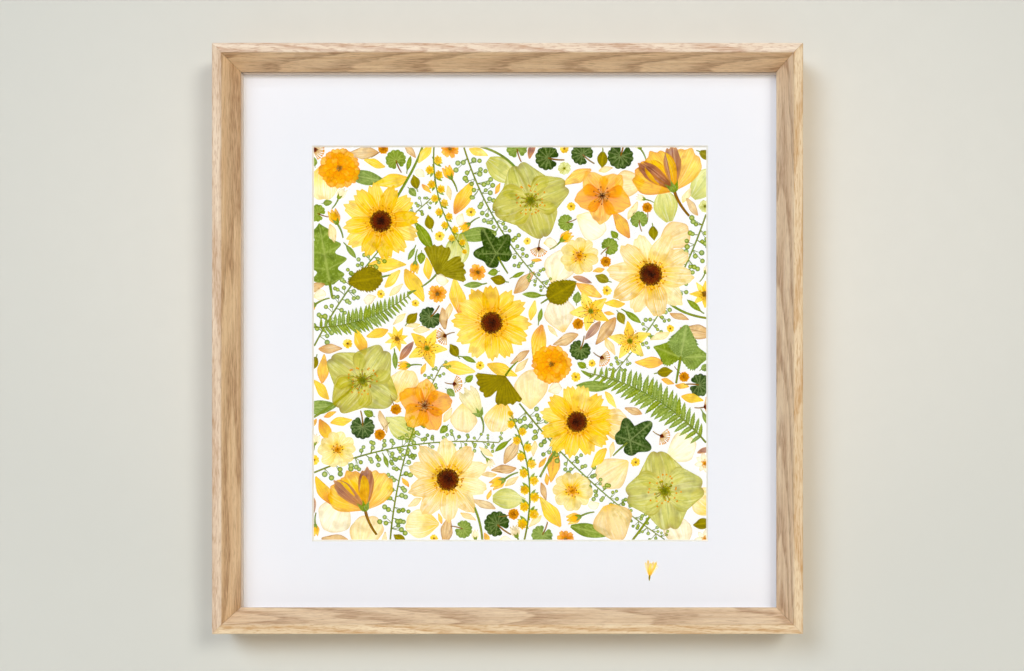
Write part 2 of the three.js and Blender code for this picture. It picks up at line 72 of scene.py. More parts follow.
class Graph:
    """A material with a Principled shader, and short names for the nodes that feed it."""

    def __init__(self, name, roughness, specular, alpha=1.0, metallic=0.0):
        self.material = bpy.data.materials.new(name)
        self.material.use_nodes = True
        self.tree = self.material.node_tree
        self.shader = self.tree.nodes["Principled BSDF"]
        self.shader.inputs["Roughness"].default_value = roughness
        self.shader.inputs["Specular IOR Level"].default_value = specular
        self.shader.inputs["Alpha"].default_value = alpha
        self.shader.inputs["Metallic"].default_value = metallic

    def node(self, kind, feeds=None, **settings):
        """A new node with these settings, its sockets fed with values or with other nodes' outputs."""
        made = self.tree.nodes.new("ShaderNode" + kind)
        for key, value in settings.items():
            setattr(made, key, value)
        for socket, value in (feeds or {}).items():
            self.feed(made.inputs[socket], value)
        return made

    def feed(self, socket, value):
        if isinstance(value, bpy.types.NodeSocket):
            self.tree.links.new(value, socket)
        else:
            socket.default_value = value

    def math(self, operation, first, second=0.0):
        return self.node("Math", {0: first, 1: second}, operation=operation).outputs[0]

    def vector(self, operation, first, second):
        return self.node("VectorMath", {0: first, 1: second}, operation=operation).outputs[0]

    def add(self, *values):
        total = values[0]
        for value in values[1:]:
            total = self.math("ADD", total, value)
        return total

    def minus(self, first, second):
        return self.math("SUBTRACT", first, second)

    def times(self, first, second):
        return self.math("MULTIPLY", first, second)

    def swing(self, value, size):
        """A noise value from 0 to 1 as a swing about zero."""
        return self.times(self.minus(value, 0.5), size)

    def mix(self, factor, first, second):
        """Two colours mixed; the node has sockets for other kinds of value before and between these."""
        return self.node("Mix", {0: factor, 6: first, 7: second}, data_type="RGBA").outputs[2]

    def remap(self, value, low, high, new_low=0.0, new_high=1.0):
        feeds = dict(enumerate((value, low, high, new_low, new_high)))
        return self.node("MapRange", feeds, interpolation_type="SMOOTHSTEP").outputs[0]

    def ramp(self, value, stops):
        made = self.node("ValToRGB", {0: value})
        elements = made.color_ramp.elements
        while len(elements) < len(stops):
            elements.new(1.0)
        for element, (position, colour) in zip(elements, stops):
            element.position = position
            element.color = srgb(*colour)
        return made.outputs[0]

    def noise(self, vector, scale=1.0, detail=3.0, roughness=0.55):
        feeds = {"Vector": vector, "Scale": scale, "Detail": detail, "Roughness": roughness}
        return self.node("TexNoise", feeds).outputs["Fac"]

    def stretched(self, vector, scale, detail=3.0):
        """Noise drawn out along the axes with the small scales."""
        drawn_out = self.node("Mapping", {"Vector": vector, "Scale": scale}).outputs[0]
        return self.noise(drawn_out, 1.0, detail)

    def place(self):
        return self.node("TexCoord").outputs["Object"]

    def colour(self, value):
        self.feed(self.shader.inputs["Base Color"], value)

    def bump(self, height, strength, distance):
        made = self.node("Bump", {"Height": height, "Strength": strength, "Distance": distance})
        self.feed(self.shader.inputs["Normal"], made.outputs[0])


# How far darker stains show in dry tissue
STAIN = 0.45


def tissue(name, stops, rim, vein, wash, shares, fibres=18.0, mottle=0.0, alpha=1.0):
    """Dry petal or leaf. The tint attribute gives the place along it, its rim or ribs and a random tone.

    The shares say how far the pale wash between the fibres, the fibres and the rim show.
    """
    wash_share, vein_share, rim_share = shares
    graph = Graph(name, roughness=0.85, specular=0.04, alpha=alpha)
    tint = graph.node("VertexColor", layer_name="tint").outputs[0]
    along, mark, tone = graph.node("SeparateColor", {0: tint}).outputs
    plan = graph.node("UVMap", uv_map="plan").outputs[0]
    # Fibres run along the petal; spots and clouds don't
    threads = graph.stretched(plan, (fibres, 1.1, 1))
    hairs = graph.stretched(plan, (2.3 * fibres, 1.8, 1), 2.0)
    spots = graph.noise(graph.place(), 520.0, 3.0, 0.6)
    clouds = graph.noise(graph.place(), 90.0, 2.0, 0.5)
    run = graph.add(along, graph.swing(threads, 0.35), graph.swing(clouds, 0.4))
    colour = graph.ramp(run, stops)
    colour = graph.mix(graph.remap(threads, 0.52, 0.36, 0.0, wash_share), colour, srgb(*wash))
    colour = graph.mix(graph.remap(spots, 0.5, 0.62, 0.0, mottle), colour, srgb(*wash))
    colour = graph.mix(graph.remap(clouds, 0.52, 0.7, 0.0, STAIN), colour, srgb(*vein))
    colour = graph.mix(graph.remap(hairs, 0.52, 0.66, 0.0, vein_share), colour, srgb(*vein))
    # The rim colour paints the marks: veins on ribbed leaves; on petals a rim that is partly the edge's own
    # tint and partly painted shade, and creases that are painted shade lines; on grains a top that is partly
    # painted highlight
    colour = graph.mix(graph.times(mark, rim_share), colour, srgb(*rim))
    # Each petal has its own tone
    hue = graph.add(graph.swing(tone, -0.016), 0.498)
    saturation = graph.add(graph.swing(tone, 0.24), 1.1)
    stain = graph.remap(clouds, 0.52, 0.74, 0.0, -0.16)
    value = graph.add(graph.swing(tone, -0.12), graph.swing(spots, 0.3), stain, 1.0)
    feeds = {"Hue": hue, "Saturation": saturation, "Value": value, "Color": colour}
    graph.colour(graph.node("HueSaturation", feeds).outputs[0])
    graph.bump(threads, 0.4, 0.0006)
    return graph.material


# Tissue colours run from the base of a petal or leaf to its tip
COREOPSIS = tissue(
    "coreopsis_ray",
    [(0.14, (222, 122, 4)), (0.36, (250, 188, 20)), (0.62, (255, 218, 50)), (1.0, (255, 230, 104))],
    rim=(236, 172, 26), vein=(244, 176, 12), wash=(255, 246, 168), shares=(0.65, 0.65, 0.5), alpha=0.94)
COSMOS = tissue(
    "cosmos_ray",
    [(0.2, (250, 198, 30)), (0.46, (254, 226, 122)), (0.72, (254, 238, 182)), (1.0, (252, 230, 166))],
    rim=(240, 206, 128), vein=(250, 200, 66), wash=(255, 252, 238), shares=(0.6, 0.7, 0.5), alpha=0.9)
DOGWOOD = tissue(
    "dogwood_bract",
    [(0.0, (228, 218, 134)), (0.35, (212, 206, 102)), (1.0, (190, 188, 78))],
    rim=(136, 112, 46), vein=(164, 166, 56), wash=(234, 234, 166), shares=(0.5, 0.55, 0.6), fibres=13.0,
    alpha=0.9)
NASTURTIUM = tissue(
    "nasturtium_petal",
    [(0.06, (172, 84, 6)), (0.26, (240, 152, 14)), (0.6, (252, 188, 44)), (1.0, (254, 210, 98))],
    rim=(230, 132, 10), vein=(222, 112, 6), wash=(255, 222, 132), shares=(0.5, 0.6, 0.55), alpha=0.88)
PRIMROSE = tissue(
    "primrose_petal",
    [(0.1, (238, 164, 8)), (0.3, (253, 214, 54)), (0.5, (253, 234, 146)), (1.0, (252, 238, 176))],
    rim=(232, 202, 108), vein=(238, 206, 96), wash=(255, 252, 230), shares=(0.45, 0.55, 0.55), alpha=0.9)
POMPOM = tissue(
    "pompom_floret",
    [(0.2, (212, 112, 2)), (0.55, (247, 164, 8)), (1.0, (255, 206, 60))],
    rim=(228, 134, 4), vein=(230, 130, 4), wash=(255, 224, 110), shares=(0.4, 0.5, 0.65), fibres=8.0,
    alpha=0.92)
WORT = tissue(
    "wort_petal",
    [(0.0, (242, 186, 8)), (0.4, (255, 220, 44)), (1.0, (255, 234, 108))],
    rim=(232, 180, 26), vein=(242, 190, 20), wash=(255, 247, 180), shares=(0.5, 0.55, 0.55), fibres=12.0,
    alpha=0.93)
POPPY = tissue(
    "poppy_petal",
    [(0.0, (228, 142, 8)), (0.3, (253, 196, 26)), (0.75, (255, 220, 74)), (1.0, (250, 200, 58))],
    rim=(216, 140, 32), vein=(228, 142, 30), wash=(255, 240, 156), shares=(0.5, 0.65, 0.65), fibres=20.0,
    alpha=0.9)
BELL = tissue(
    "bell_petal",
    [(0.0, (198, 198, 92)), (0.4, (246, 236, 166)), (1.0, (255, 244, 206))],
    rim=(212, 190, 104), vein=(206, 194, 98), wash=(255, 252, 236), shares=(0.5, 0.6, 0.7), alpha=0.88)
ROSE = tissue(
    "rose_petal",
    [(0.0, (250, 208, 82)), (0.3, (254, 236, 172)), (1.0, (252, 232, 178))],
    rim=(228, 190, 118), vein=(244, 214, 136), wash=(255, 249, 226), shares=(0.45, 0.55, 0.8), alpha=0.88)
BLUSH = tissue(
    "blush_petal",
    [(0.0, (206, 150, 60)), (0.5, (240, 212, 154)), (1.0, (228, 190, 126))],
    rim=(162, 114, 62), vein=(200, 150, 90), wash=(252, 238, 204), shares=(0.5, 0.65, 0.8), fibres=12.0,
    alpha=0.9)
MAROON = tissue(
    "maroon_petal",
    [(0.0, (206, 146, 60)), (0.4, (188, 136, 106)), (1.0, (150, 102, 96))],
    rim=(228, 176, 90), vein=(116, 66, 62), wash=(226, 196, 168), shares=(0.6, 0.7, 0.6), fibres=12.0,
    alpha=0.92)
IVORY = tissue(
    "ivory_petal",
    [(0.0, (246, 210, 84)), (0.3, (254, 244, 204)), (1.0, (253, 244, 216))],
    rim=(226, 204, 150), vein=(244, 226, 166), wash=(255, 254, 248), shares=(0.5, 0.55, 0.9), alpha=0.8)
DARK_LEAF = tissue(
    "dark_leaf",
    [(0.0, (48, 70, 20)), (0.6, (58, 84, 28)), (1.0, (46, 72, 20))],
    rim=(150, 166, 104), vein=(32, 52, 16), wash=(116, 138, 80), shares=(0.0, 0.5, 0.75), fibres=7.0,
    mottle=0.7)
GREEN_LEAF = tissue(
    "green_leaf",
    [(0.0, (116, 136, 50)), (0.5, (138, 160, 68)), (1.0, (122, 146, 56))],
    rim=(182, 196, 110), vein=(94, 116, 42), wash=(166, 184, 96), shares=(0.0, 0.5, 0.75), fibres=7.0,
    mottle=0.6)
OLIVE_LEAF = tissue(
    "olive_leaf",
    [(0.0, (130, 118, 8)), (0.5, (148, 136, 16)), (1.0, (134, 124, 14))],
    rim=(184, 168, 58), vein=(106, 96, 6), wash=(168, 156, 42), shares=(0.0, 0.5, 0.7), fibres=7.0,
    mottle=0.5)
LIME_LEAF = tissue(
    "lime_leaf",
    [(0.0, (182, 180, 60)), (0.4, (222, 220, 124)), (1.0, (238, 236, 166))],
    rim=(182, 190, 84), vein=(174, 182, 76), wash=(246, 248, 214), shares=(0.5, 0.55, 0.8), fibres=9.0,
    alpha=0.9)
POD = tissue(
    "pod",
    [(0.0, (212, 218, 138)), (0.55, (164, 182, 84)), (1.0, (100, 132, 42))],
    rim=(84, 116, 34), vein=(122, 148, 58), wash=(200, 208, 132), shares=(0.2, 0.3, 0.8), fibres=3.0,
    alpha=0.94)
STALK = tissue(
    "stalk",
    [(0.0, (132, 140, 46)), (0.5, (122, 148, 50)), (1.0, (150, 156, 68))],
    rim=(96, 114, 36), vein=(100, 118, 38), wash=(178, 186, 108), shares=(0.4, 0.5, 0.6), fibres=4.0)
BROWN_STALK = tissue(
    "brown_stalk",
    [(0.0, (128, 90, 38)), (0.5, (162, 124, 62)), (1.0, (144, 116, 48))],
    rim=(98, 68, 30), vein=(108, 76, 32), wash=(202, 170, 114), shares=(0.4, 0.5, 0.6), fibres=4.0)
BROWN_SEED = tissue(
    "brown_seed",
    [(0.0, (24, 6, 4)), (0.3, (112, 42, 8)), (0.55, (104, 36, 8)), (0.78, (44, 12, 8)), (1.0, (72, 26, 10))],
    rim=(214, 136, 24), vein=(24, 8, 6), wash=(128, 58, 18), shares=(0.3, 0.4, 0.7), fibres=3.0)
GOLD_SEED = tissue(
    "gold_seed",
    [(0.0, (156, 90, 2)), (0.35, (236, 158, 12)), (0.65, (206, 124, 4)), (1.0, (240, 170, 24))],
    rim=(253, 212, 76), vein=(182, 106, 4), wash=(250, 198, 64), shares=(0.3, 0.4, 0.5), fibres=3.0)
GREEN_SEED = tissue(
    "green_seed",
    [(0.0, (96, 102, 16)), (0.6, (146, 150, 38)), (1.0, (190, 182, 64))],
    rim=(222, 210, 102), vein=(88, 96, 18), wash=(186, 186, 74), shares=(0.3, 0.4, 0.6), fibres=3.0)
FLUFF = tissue(
    "mimosa_fluff",
    [(0.0, (228, 162, 4)), (0.6, (252, 206, 30)), (1.0, (255, 230, 96))],
    rim=(255, 238, 136), vein=(218, 152, 4), wash=(255, 240, 144), shares=(0.3, 0.4, 0.5), fibres=6.0,
    alpha=0.96)


# Drawing plant tissue

# A petal or simple leaf: width, base, peak, taper, round, notch and teeth, as shares of its length
FORMS = {
    "coreopsis": (0.44, 0.25, 0.8, 0.1, 0.16, 0.0, 0.04),
    "cosmos": (0.5, 0.2, 0.75, 0.2, 0.2, 0.0, 0.02),
    "dogwood": (1.02, 0.25, 0.55, 0.3, 0.4, 0.14, 0.0),
    "primrose": (0.98, 0.16, 0.8, 0.05, 0.3, 0.26, 0.0),
    "nasturtium": (0.98, 0.1, 0.72, 0.2, 0.36, 0.0, 0.02),
    "wort": (0.52, 0.3, 0.6, 0.5, 0.3, 0.0, 0.0),
    "pompom": (0.52, 0.5, 0.8, 0.1, 0.2, 0.1, 0.0),
    "poppy": (0.8, 0.16, 0.85, 0.1, 0.2, 0.0, 0.03),
    "bell": (0.62, 0.3, 0.95, 0.0, 0.02, 0.0, 0.09),
    "calyx": (0.7, 0.4, 0.4, 0.8, 0.3, 0.0, 0.0),
    "rose": (1.05, 0.2, 0.7, 0.25, 0.38, 0.05, 0.0),
    "leaflet": (0.9, 0.15, 0.55, 0.6, 0.3, 0.0, 0.0),
    "birch": (0.72, 0.3, 0.35, 0.94, 0.0, 0.0, 0.0),
    "pinna": (0.3, 0.7, 0.3, 0.95, 0.0, 0.0, 0.0),
    "lance": (0.34, 0.2, 0.45, 0.92, 0.0, 0.0, 0.0),
    "oval": (0.66, 0.3, 0.5, 0.75, 0.12, 0.0, 0.0),
    "spoon": (0.42, 0.14, 0.72, 0.4, 0.34, 0.0, 0.0),
    "wedge": (0.86, 0.08, 0.82, 0.12, 0.3, 0.06, 0.0),
}


def bezier(start, bend, end, steps):
    """Points on a quadratic curve."""
    t = np.linspace(0, 1, steps)[:, None]
    return (1 - t) ** 2 * np.array(start) + 2 * t * (1 - t) * np.array(bend) + t ** 2 * np.array(end)


def polar(radius, degrees):
    return (-radius * math.sin(math.radians(degrees)), radius * math.cos(math.radians(degrees)))


# Each sheet takes its fibres from one of this many parts of the noise, which lie this far apart
NOISE_PARTS = 60
NOISE_STEP = (3.7, 2.3)
# Points on the rim of a seed head
HEAD_POINTS = 25


def spiral(count):
    """A sunflower spiral of grains on a unit disc: for each the share of grains inside it, and its place."""
    for i in range(count):
        share = (i + 0.5) / count
        reach = math.sqrt(share)
        yield share, reach * math.cos(i * GOLDEN_ANGLE), reach * math.sin(i * GOLDEN_ANGLE)


class Plant:
    """Sheets of tissue in millimetres: x and y across the board and h the height above it."""

    def __init__(self, seed, ground=0.0, ripple=1.0):
        self.rng = np.random.default_rng(seed)
        self.ground = ground
        self.ripple = ripple
        self.materials = []
        self.sheets = []
        self.start_at(0.0, 0.0, 0.0)

    def start_at(self, x, y, turn):
        """The sheets that follow are drawn about this point, turned anticlockwise."""
        self.about = (x, y, math.radians(turn))

    def sheet(self, x, y, h, u, v, along, mark, material):
        """Adds a grid of points with its place on the petal, its rim or ribs and one random tone."""
        arrays = np.broadcast_arrays(x, y, h, u, v, along, mark)
        x, y, h, u, v, along, mark = (np.asarray(array, float) for array in arrays)
        about_x, about_y, turn = self.about
        px = about_x + math.cos(turn) * x - math.sin(turn) * y
        py = about_y + math.sin(turn) * x + math.cos(turn) * y
        if material not in self.materials:
            self.materials.append(material)
        part = self.rng.integers(0, NOISE_PARTS)
        plan = np.stack([u + NOISE_STEP[0] * part, v + NOISE_STEP[1] * part], -1)
        tone = np.full(x.shape, self.rng.random())
        tint = np.clip(np.stack([along, mark, tone, np.ones(x.shape)], -1), 0, 1)
        points = np.stack([px, py, h + self.ground], -1)
        self.sheets.append((points, plan, tint, self.materials.index(material)))

    def petal(self, form, length, turn, material, x=0.0, y=0.0, lift=0.3, rows=14, cols=13, bend=0.0,
              ripple=0.12, serrate=(0, 0.0), widen=1.0, ribs=0, dark_tip=0.0, creases=0):
        """One petal or leaf blade from (x, y), pointing turn degrees anticlockwise from +y."""
        width, base, peak, taper, rounding, notch, teeth = FORMS[form]
        s = np.linspace(-1, 1, cols)[None, :]
        t = np.linspace(0, 1, rows)[:, None]
        # The outline opens from the base to its widest place and narrows past it
        opening = base + (1 - base) * np.sin(np.pi / 2 * np.minimum(1, t / peak))
        past = np.maximum(0, (t - peak) / (1 - peak))
        saw_count, saw_depth = serrate
        saw = 1 + saw_depth * (1 - 2 * np.mod(saw_count * t, 1.0)) * np.abs(s) ** 3
        half = widen * width * length * opening * (1 - taper * past ** 2) / 2 * saw
        # The tip is rounded, notched or toothed
        reach = 1 - rounding * s ** 2 - notch * (1 - np.abs(s)) ** 2 + teeth * (np.cos(3 * np.pi * s) - 1)
        # No two petals are quite alike in outline and ripple
        phase = self.rng.uniform(0, 2 * np.pi, 4)
        wobble = 1 + 0.02 * t * np.sin(5 * s + phase[0])
        px = s * half * (1 + 0.03 * np.sin(6 * t + phase[3])) + bend * length * t ** 2
        py = length * t * reach * wobble
        rise = np.sin(2.6 * s + phase[1]) * t + 0.6 * np.sin(7 * s + phase[2]) * t ** 2 + 0.8 * s ** 2 * t
        # The rim is marked, or instead the ribs, and then a dark tip and pressed creases. On petals the darker
        # rim is partly the dry edge's own tint and partly painted shade between petals; each crease is a
        # painted shade line
        mark = np.maximum(np.abs(s) ** 7 * np.minimum(1, 3 * t), t ** 14)
        if ribs:
            side = np.abs(np.mod(ribs * (t - 0.42 * np.abs(s)), 1.0) - 0.5)
            mark = np.maximum(np.exp(-(s / 0.1) ** 2), 0.6 * np.exp(-(side / 0.12) ** 2))
        if dark_tip:
            mark = 0.6 * mark + dark_tip * np.exp(-(s / 0.3) ** 2) * np.clip((t - 0.84) / 0.12, 0, 1)
        for _ in range(creases):
            at = self.rng.uniform(-0.7, 0.7)
            fold_shade = np.exp(-((s - at * np.sqrt(t)) / 0.07) ** 2) * np.sin(np.pi * t) ** 0.5
            mark = np.maximum(mark, self.rng.uniform(0.4, 0.8) * fold_shade)
        c, d = math.cos(math.radians(turn)), math.sin(math.radians(turn))
        h = lift + ripple * self.ripple * (rise + 1.2)
        self.sheet(x + c * px - d * py, y + d * px + c * py, h, s / 2, t, t, mark, material)

    def blade(self, angles, radius, material, mark=0.0, lift=0.3, rings=9, x=0.0, y=0.0, ripple=0.1,
              dome=0.0):
        """A leaf or disc drawn round a middle point; angles fall clockwise in degrees."""
        k = np.linspace(0, 1, rings)[:, None]
        a = np.radians(np.asarray(angles, float))[None, :]
        r = k * np.asarray(radius, float)[None, :]
        phase = self.rng.uniform(0, 2 * np.pi)
        h = lift + dome * (1 - k ** 2) + ripple * self.ripple * k * (1 + np.sin(3 * a + phase))
        px, py = -r * np.sin(a), r * np.cos(a)
        marks = mark(px, py, k) if callable(mark) else mark
        self.sheet(x + px, y + py, h, a / 2, k, k, marks, material)

    def stalk(self, path, wide, narrow, material, lift=0.2):
        """A half-round stalk along points in the plane."""
        path = np.asarray(path, float)
        run = np.gradient(path, axis=0)
        run = run / np.linalg.norm(run, axis=1)[:, None]
        half = np.linspace(wide, narrow, len(path))[:, None] / 2
        c = np.linspace(1, -1, 5)[None, :]
        x = path[:, :1] - run[:, 1:] * half * c
        y = path[:, 1:] + run[:, :1] * half * c
        h = lift + np.sqrt(1 - c ** 2) * np.minimum(half, 0.5) * self.ripple
        t = np.linspace(0, 1, len(path))[:, None]
        self.sheet(x, y, h, c / 2, t * len(path) / 4, t, np.abs(c) ** 4, material)

    def stem(self, start, bend, end, wide, narrow, material, steps=10, lift=0.2):
        self.stalk(bezier(start, bend, end, steps), wide, narrow, material, lift)

    def sized_stem(self, size, points, widths, material, steps=10, lift=0.2):
        """A stem whose three points and end widths are shares of the plant's size."""
        start, bend, end = (size * np.array(point) for point in points)
        self.stem(start, bend, end, size * widths[0], size * widths[1], material, steps, lift)

    def dot(self, x, y, radius, height, material, lift=0.3, along=0.5, tip_tint_and_highlight=1.0):
        """A small grain: a low dome with six sides; its top takes the rim colour, partly its tip tint and
        partly a painted highlight.
        """
        a = np.radians(np.linspace(360, 0, 7))[None, :]
        k = np.array([0.0, 0.62, 1.0])[:, None]
        h = lift + height * (1 - k ** 2)
        place = along + self.rng.uniform(-0.12, 0.12)
        px, py = x - k * radius * np.sin(a), y + k * radius * np.cos(a)
        self.sheet(px, py, h, a, k, place, tip_tint_and_highlight * (1 - k), material)

    def seed_head(self, radius, count, material, height=0.7, x=0.0, y=0.0, lift=0.6):
        """Grains set in a sunflower spiral on a low dome; the outer ones have brighter tips, partly their tint
        and partly painted highlight.
        """
        circle = np.linspace(360, 0, HEAD_POINTS)
        rim = np.full(HEAD_POINTS, radius)
        self.blade(circle, rim, material, 0.0, lift, 4, x, y, 0.0, height * 0.6)
        grain = 1.15 * radius / math.sqrt(count)
        for share, aside, up in spiral(count):
            top = lift + height * 0.6 * (1 - share)
            tip_tint_and_highlight = share ** 2
            self.dot(x + radius * aside, y + radius * up, grain, height * 0.5, material, top, share, tip_tint_and_highlight)

    def stamens(self, count, inner, outer, thread, tip, lift=0.8, grain=0.7):
        """Thin threads round the middle with a grain at the end of each."""
        for i in range(count):
            turn = 360 * i / count + self.rng.uniform(-8, 8)
            reach = inner + (outer - inner) * self.rng.uniform(0.35, 1.0)
            mid = polar((inner + reach) / 2, turn + self.rng.uniform(-10, 10))
            path = bezier(polar(inner, turn), mid, polar(reach, turn + self.rng.uniform(-8, 8)), 6)
            self.stalk(path, 0.8 * grain, 0.5 * grain, thread, lift)
            self.dot(path[-1][0], path[-1][1], grain, 0.35, tip, lift)

    def whorl(self, form, petals, radius, material, start=0.0, lift=0.3, step=0.28, loose=1.0, **look):
        """Petals round a middle, every second one over its neighbours; loose says how unevenly they lie."""
        for i in range(petals):
            turn = start + 360 * i / petals + loose * self.rng.uniform(-3, 3)
            self.petal(form, radius * self.rng.uniform(1 - 0.08 * loose, 1.0), turn, material,
                       lift=lift + step * (i % 2) + 0.04 * i / petals, bend=self.rng.uniform(-0.04, 0.04),
                       widen=self.rng.uniform(0.92, 1.08), **look)

    def footprint(self, first=0, finer=3):
        """Points about half a millimetre apart all over the sheets from the first one on."""
        points = []
        for grid, _, _, _ in self.sheets[first:]:
            for _ in range(2):
                steps = np.linspace(0, len(grid) - 1, finer * (len(grid) - 1) + 1)
                low = np.minimum(steps.astype(int), len(grid) - 2)
                share = (steps - low)[:, None, None]
                grid = (grid[low] * (1 - share) + grid[low + 1] * share).transpose(1, 0, 2)
            points.append(grid.reshape(-1, 3)[:, :2])
        return np.concatenate(points)

    def build(self, name, slot, ground_y=BOARD_Y, centre=WINDOW_CENTRE, trim=True):
        """Makes the object, upright on the ground it lies on; light passes through the thin tissue."""
        points, faces, plans, tints, indices = [], [], [], [], []
        count = 0
        for grid, plan, tint, index in self.sheets:
            rows, cols = grid.shape[:2]
            at = np.arange(rows * cols).reshape(rows, cols) + count
            quads = np.stack([at[:-1, :-1], at[:-1, 1:], at[1:, 1:], at[1:, :-1]], -1).reshape(-1, 4)
            points.append(grid.reshape(-1, 3))
            plans.append(plan.reshape(-1, 2))
            tints.append(tint.reshape(-1, 4))
            faces.append(quads)
            indices.append(np.full(len(quads), index))
            count += rows * cols
        x, y, h = np.concatenate(points).T
        quads = np.concatenate(faces)
        world = np.stack([(x + centre[0]) * MM, ground_y - h * MM, (y + centre[1]) * MM + CENTRE_Z], -1)
        mesh = bpy.data.meshes.new(name)
        mesh.from_pydata(world.tolist(), [], quads.tolist())
        uv = mesh.uv_layers.new(name="plan")
        uv.data.foreach_set("uv", np.concatenate(plans)[quads.ravel()].astype(np.float32).ravel())
        tint = mesh.color_attributes.new("tint", "FLOAT_COLOR", "POINT")
        tint.data.foreach_set("color", np.concatenate(tints).astype(np.float32).ravel())
        for material in self.materials:
            mesh.materials.append(material)
        mesh.polygons.foreach_set("material_index", np.concatenate(indices).astype(np.int32))
        mesh.polygons.foreach_set("use_smooth", np.ones(len(quads), bool))
        if trim:
            trim_to_window(mesh)
        mesh.update()
        piece = bpy.data.objects.new(name, mesh)
        bpy.context.scene.collection.objects.link(piece)
        piece.visible_shadow = False
        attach(piece, "root")
        return piece


def trim_to_window(mesh):
    """Cuts off what runs past the window, as the mat's edge hides it."""
    half = (WINDOW / 2 - TRIM) * MM
    body = bmesh.new()
    body.from_mesh(mesh)
    for x, z in ((1, 0), (-1, 0), (0, 1), (0, -1)):
        at = (WINDOW_CENTRE[0] * MM + x * half, 0, CENTRE_Z + WINDOW_CENTRE[1] * MM + z * half)
        geometry = body.verts[:] + body.edges[:] + body.faces[:]
        bmesh.ops.bisect_plane(body, geom=geometry, plane_co=at, plane_no=(x, 0, z), clear_outer=True)
    body.to_mesh(mesh)
    body.free()


# Open flowers


def coreopsis(plant, size):
    plant.whorl("coreopsis", 12, size / 2, COREOPSIS, rows=16, creases=1)
    plant.stamens(60, 0.1 * size, 0.19 * size, FLUFF, GOLD_SEED, lift=0.8, grain=0.8)
    plant.seed_head(0.13 * size, 110, BROWN_SEED, 0.9, lift=0.85)


def cosmos(plant, size):
    plant.whorl("cosmos", 10, size / 2, COSMOS, rows=16, creases=2)
    plant.stamens(54, 0.1 * size, 0.18 * size, FLUFF, GOLD_SEED, lift=0.8, grain=0.8)
    plant.seed_head(0.125 * size, 100, BROWN_SEED, 0.8, lift=0.85)


def dogwood(plant, size):
    plant.whorl("dogwood", 4, size / 2, DOGWOOD, rows=22, cols=21, dark_tip=0.7, creases=3)
    plant.stamens(26, 0.05 * size, 0.19 * size, LIME_LEAF, GOLD_SEED, lift=0.85, grain=0.95)
    plant.stamens(14, 0.03 * size, 0.12 * size, BROWN_STALK, GREEN_SEED, lift=0.95, grain=1.2)
    plant.seed_head(0.06 * size, 22, GREEN_SEED, 0.8, lift=0.9)


def primrose(plant, size):
    plant.whorl("primrose", 5, size / 2, PRIMROSE, rows=16, cols=15, creases=2)
    plant.stamens(10, 0.02 * size, 0.15 * size, GOLD_SEED, BROWN_SEED, lift=0.8, grain=0.6)
    plant.seed_head(0.06 * size, 9, GOLD_SEED, 0.5, lift=0.8)


def nasturtium(plant, size):
    plant.whorl("nasturtium", 5, size / 2, NASTURTIUM, rows=18, cols=17, ripple=0.2, creases=3)
    plant.stamens(12, 0.02 * size, 0.16 * size, BLUSH, BROWN_SEED, lift=0.9, grain=0.7)
    plant.seed_head(0.05 * size, 10, BROWN_SEED, 0.5, lift=0.8)


def wort(plant, size):
    plant.whorl("wort", 5, size / 2, WORT, rows=16, creases=2)
    plant.stamens(30, 0.04 * size, 0.28 * size, GOLD_SEED, BROWN_STALK, lift=0.8, grain=0.5)
    plant.seed_head(0.06 * size, 12, GREEN_SEED, 0.8, lift=0.85)


def pompom(plant, size):
    for layer, (petals, reach) in enumerate(((13, 1.0), (11, 0.78), (9, 0.56), (6, 0.34))):
        plant.whorl("pompom", petals, reach * size / 2, POMPOM, 11 * layer, 0.2 + 0.3 * layer, 0.12,
                    rows=9, cols=9)
    plant.seed_head(0.07 * size, 12, BROWN_STALK, 0.5, lift=1.1)


# Flowers pressed from the side

# Turn, tissue, lift and width of each petal
POPPY_PETALS = (
    (-44, POPPY, 0.25, 1.0), (44, POPPY, 0.3, 1.0), (-17, MAROON, 0.5, 0.5), (12, POPPY, 0.6, 0.9),
    (34, MAROON, 0.75, 0.45),
)


def poppy(plant, size):
    plant.sized_stem(size, ((0, 0), polar(0.2, 175), polar(0.42, 190)), (0.045, 0.032), BROWN_STALK)
    for turn, material, lift, widen in POPPY_PETALS:
        plant.petal("poppy", 0.6 * size, turn, material, lift=lift, rows=20, cols=17, ripple=0.2,
                    widen=widen, creases=2)
    for turn in (-34, 0, 34):
        plant.petal("calyx", 0.17 * size, turn, GREEN_LEAF, y=-0.04 * size, lift=1.0, widen=0.6)


def bell(plant, size):
    plant.sized_stem(size, ((0, 0), polar(0.2, 180), polar(0.36, 158)), (0.045, 0.028), STALK)
    plant.petal("bell", 0.62 * size, 0, BELL, lift=0.3, rows=18, cols=19, ripple=0.16, creases=3)
    plant.petal("bell", 0.56 * size, 0, BELL, lift=0.7, rows=18, cols=13, widen=0.5)
    for turn in (-40, 0, 40):
        plant.petal("calyx", 0.2 * size, turn, GREEN_LEAF, y=-0.03 * size, lift=0.95, widen=0.55)


# Leaves

IVY_LOBES = ((0, 0.62), (62, 0.5), (-62, 0.5), (122, 0.34), (-122, 0.34))
IVY_CORE = 0.3
IVY_LOBE_WIDTH = 21


def ivy_reach(degrees):
    reach = []
    for at, far in IVY_LOBES:
        off = (degrees - at + 540) % 360 - 180
        reach.append(IVY_CORE + (far - IVY_CORE) * math.exp(-(off / IVY_LOBE_WIDTH) ** 2))
    return max(reach) - 0.16 * math.exp(-((abs(degrees) - 180) / 16) ** 2)


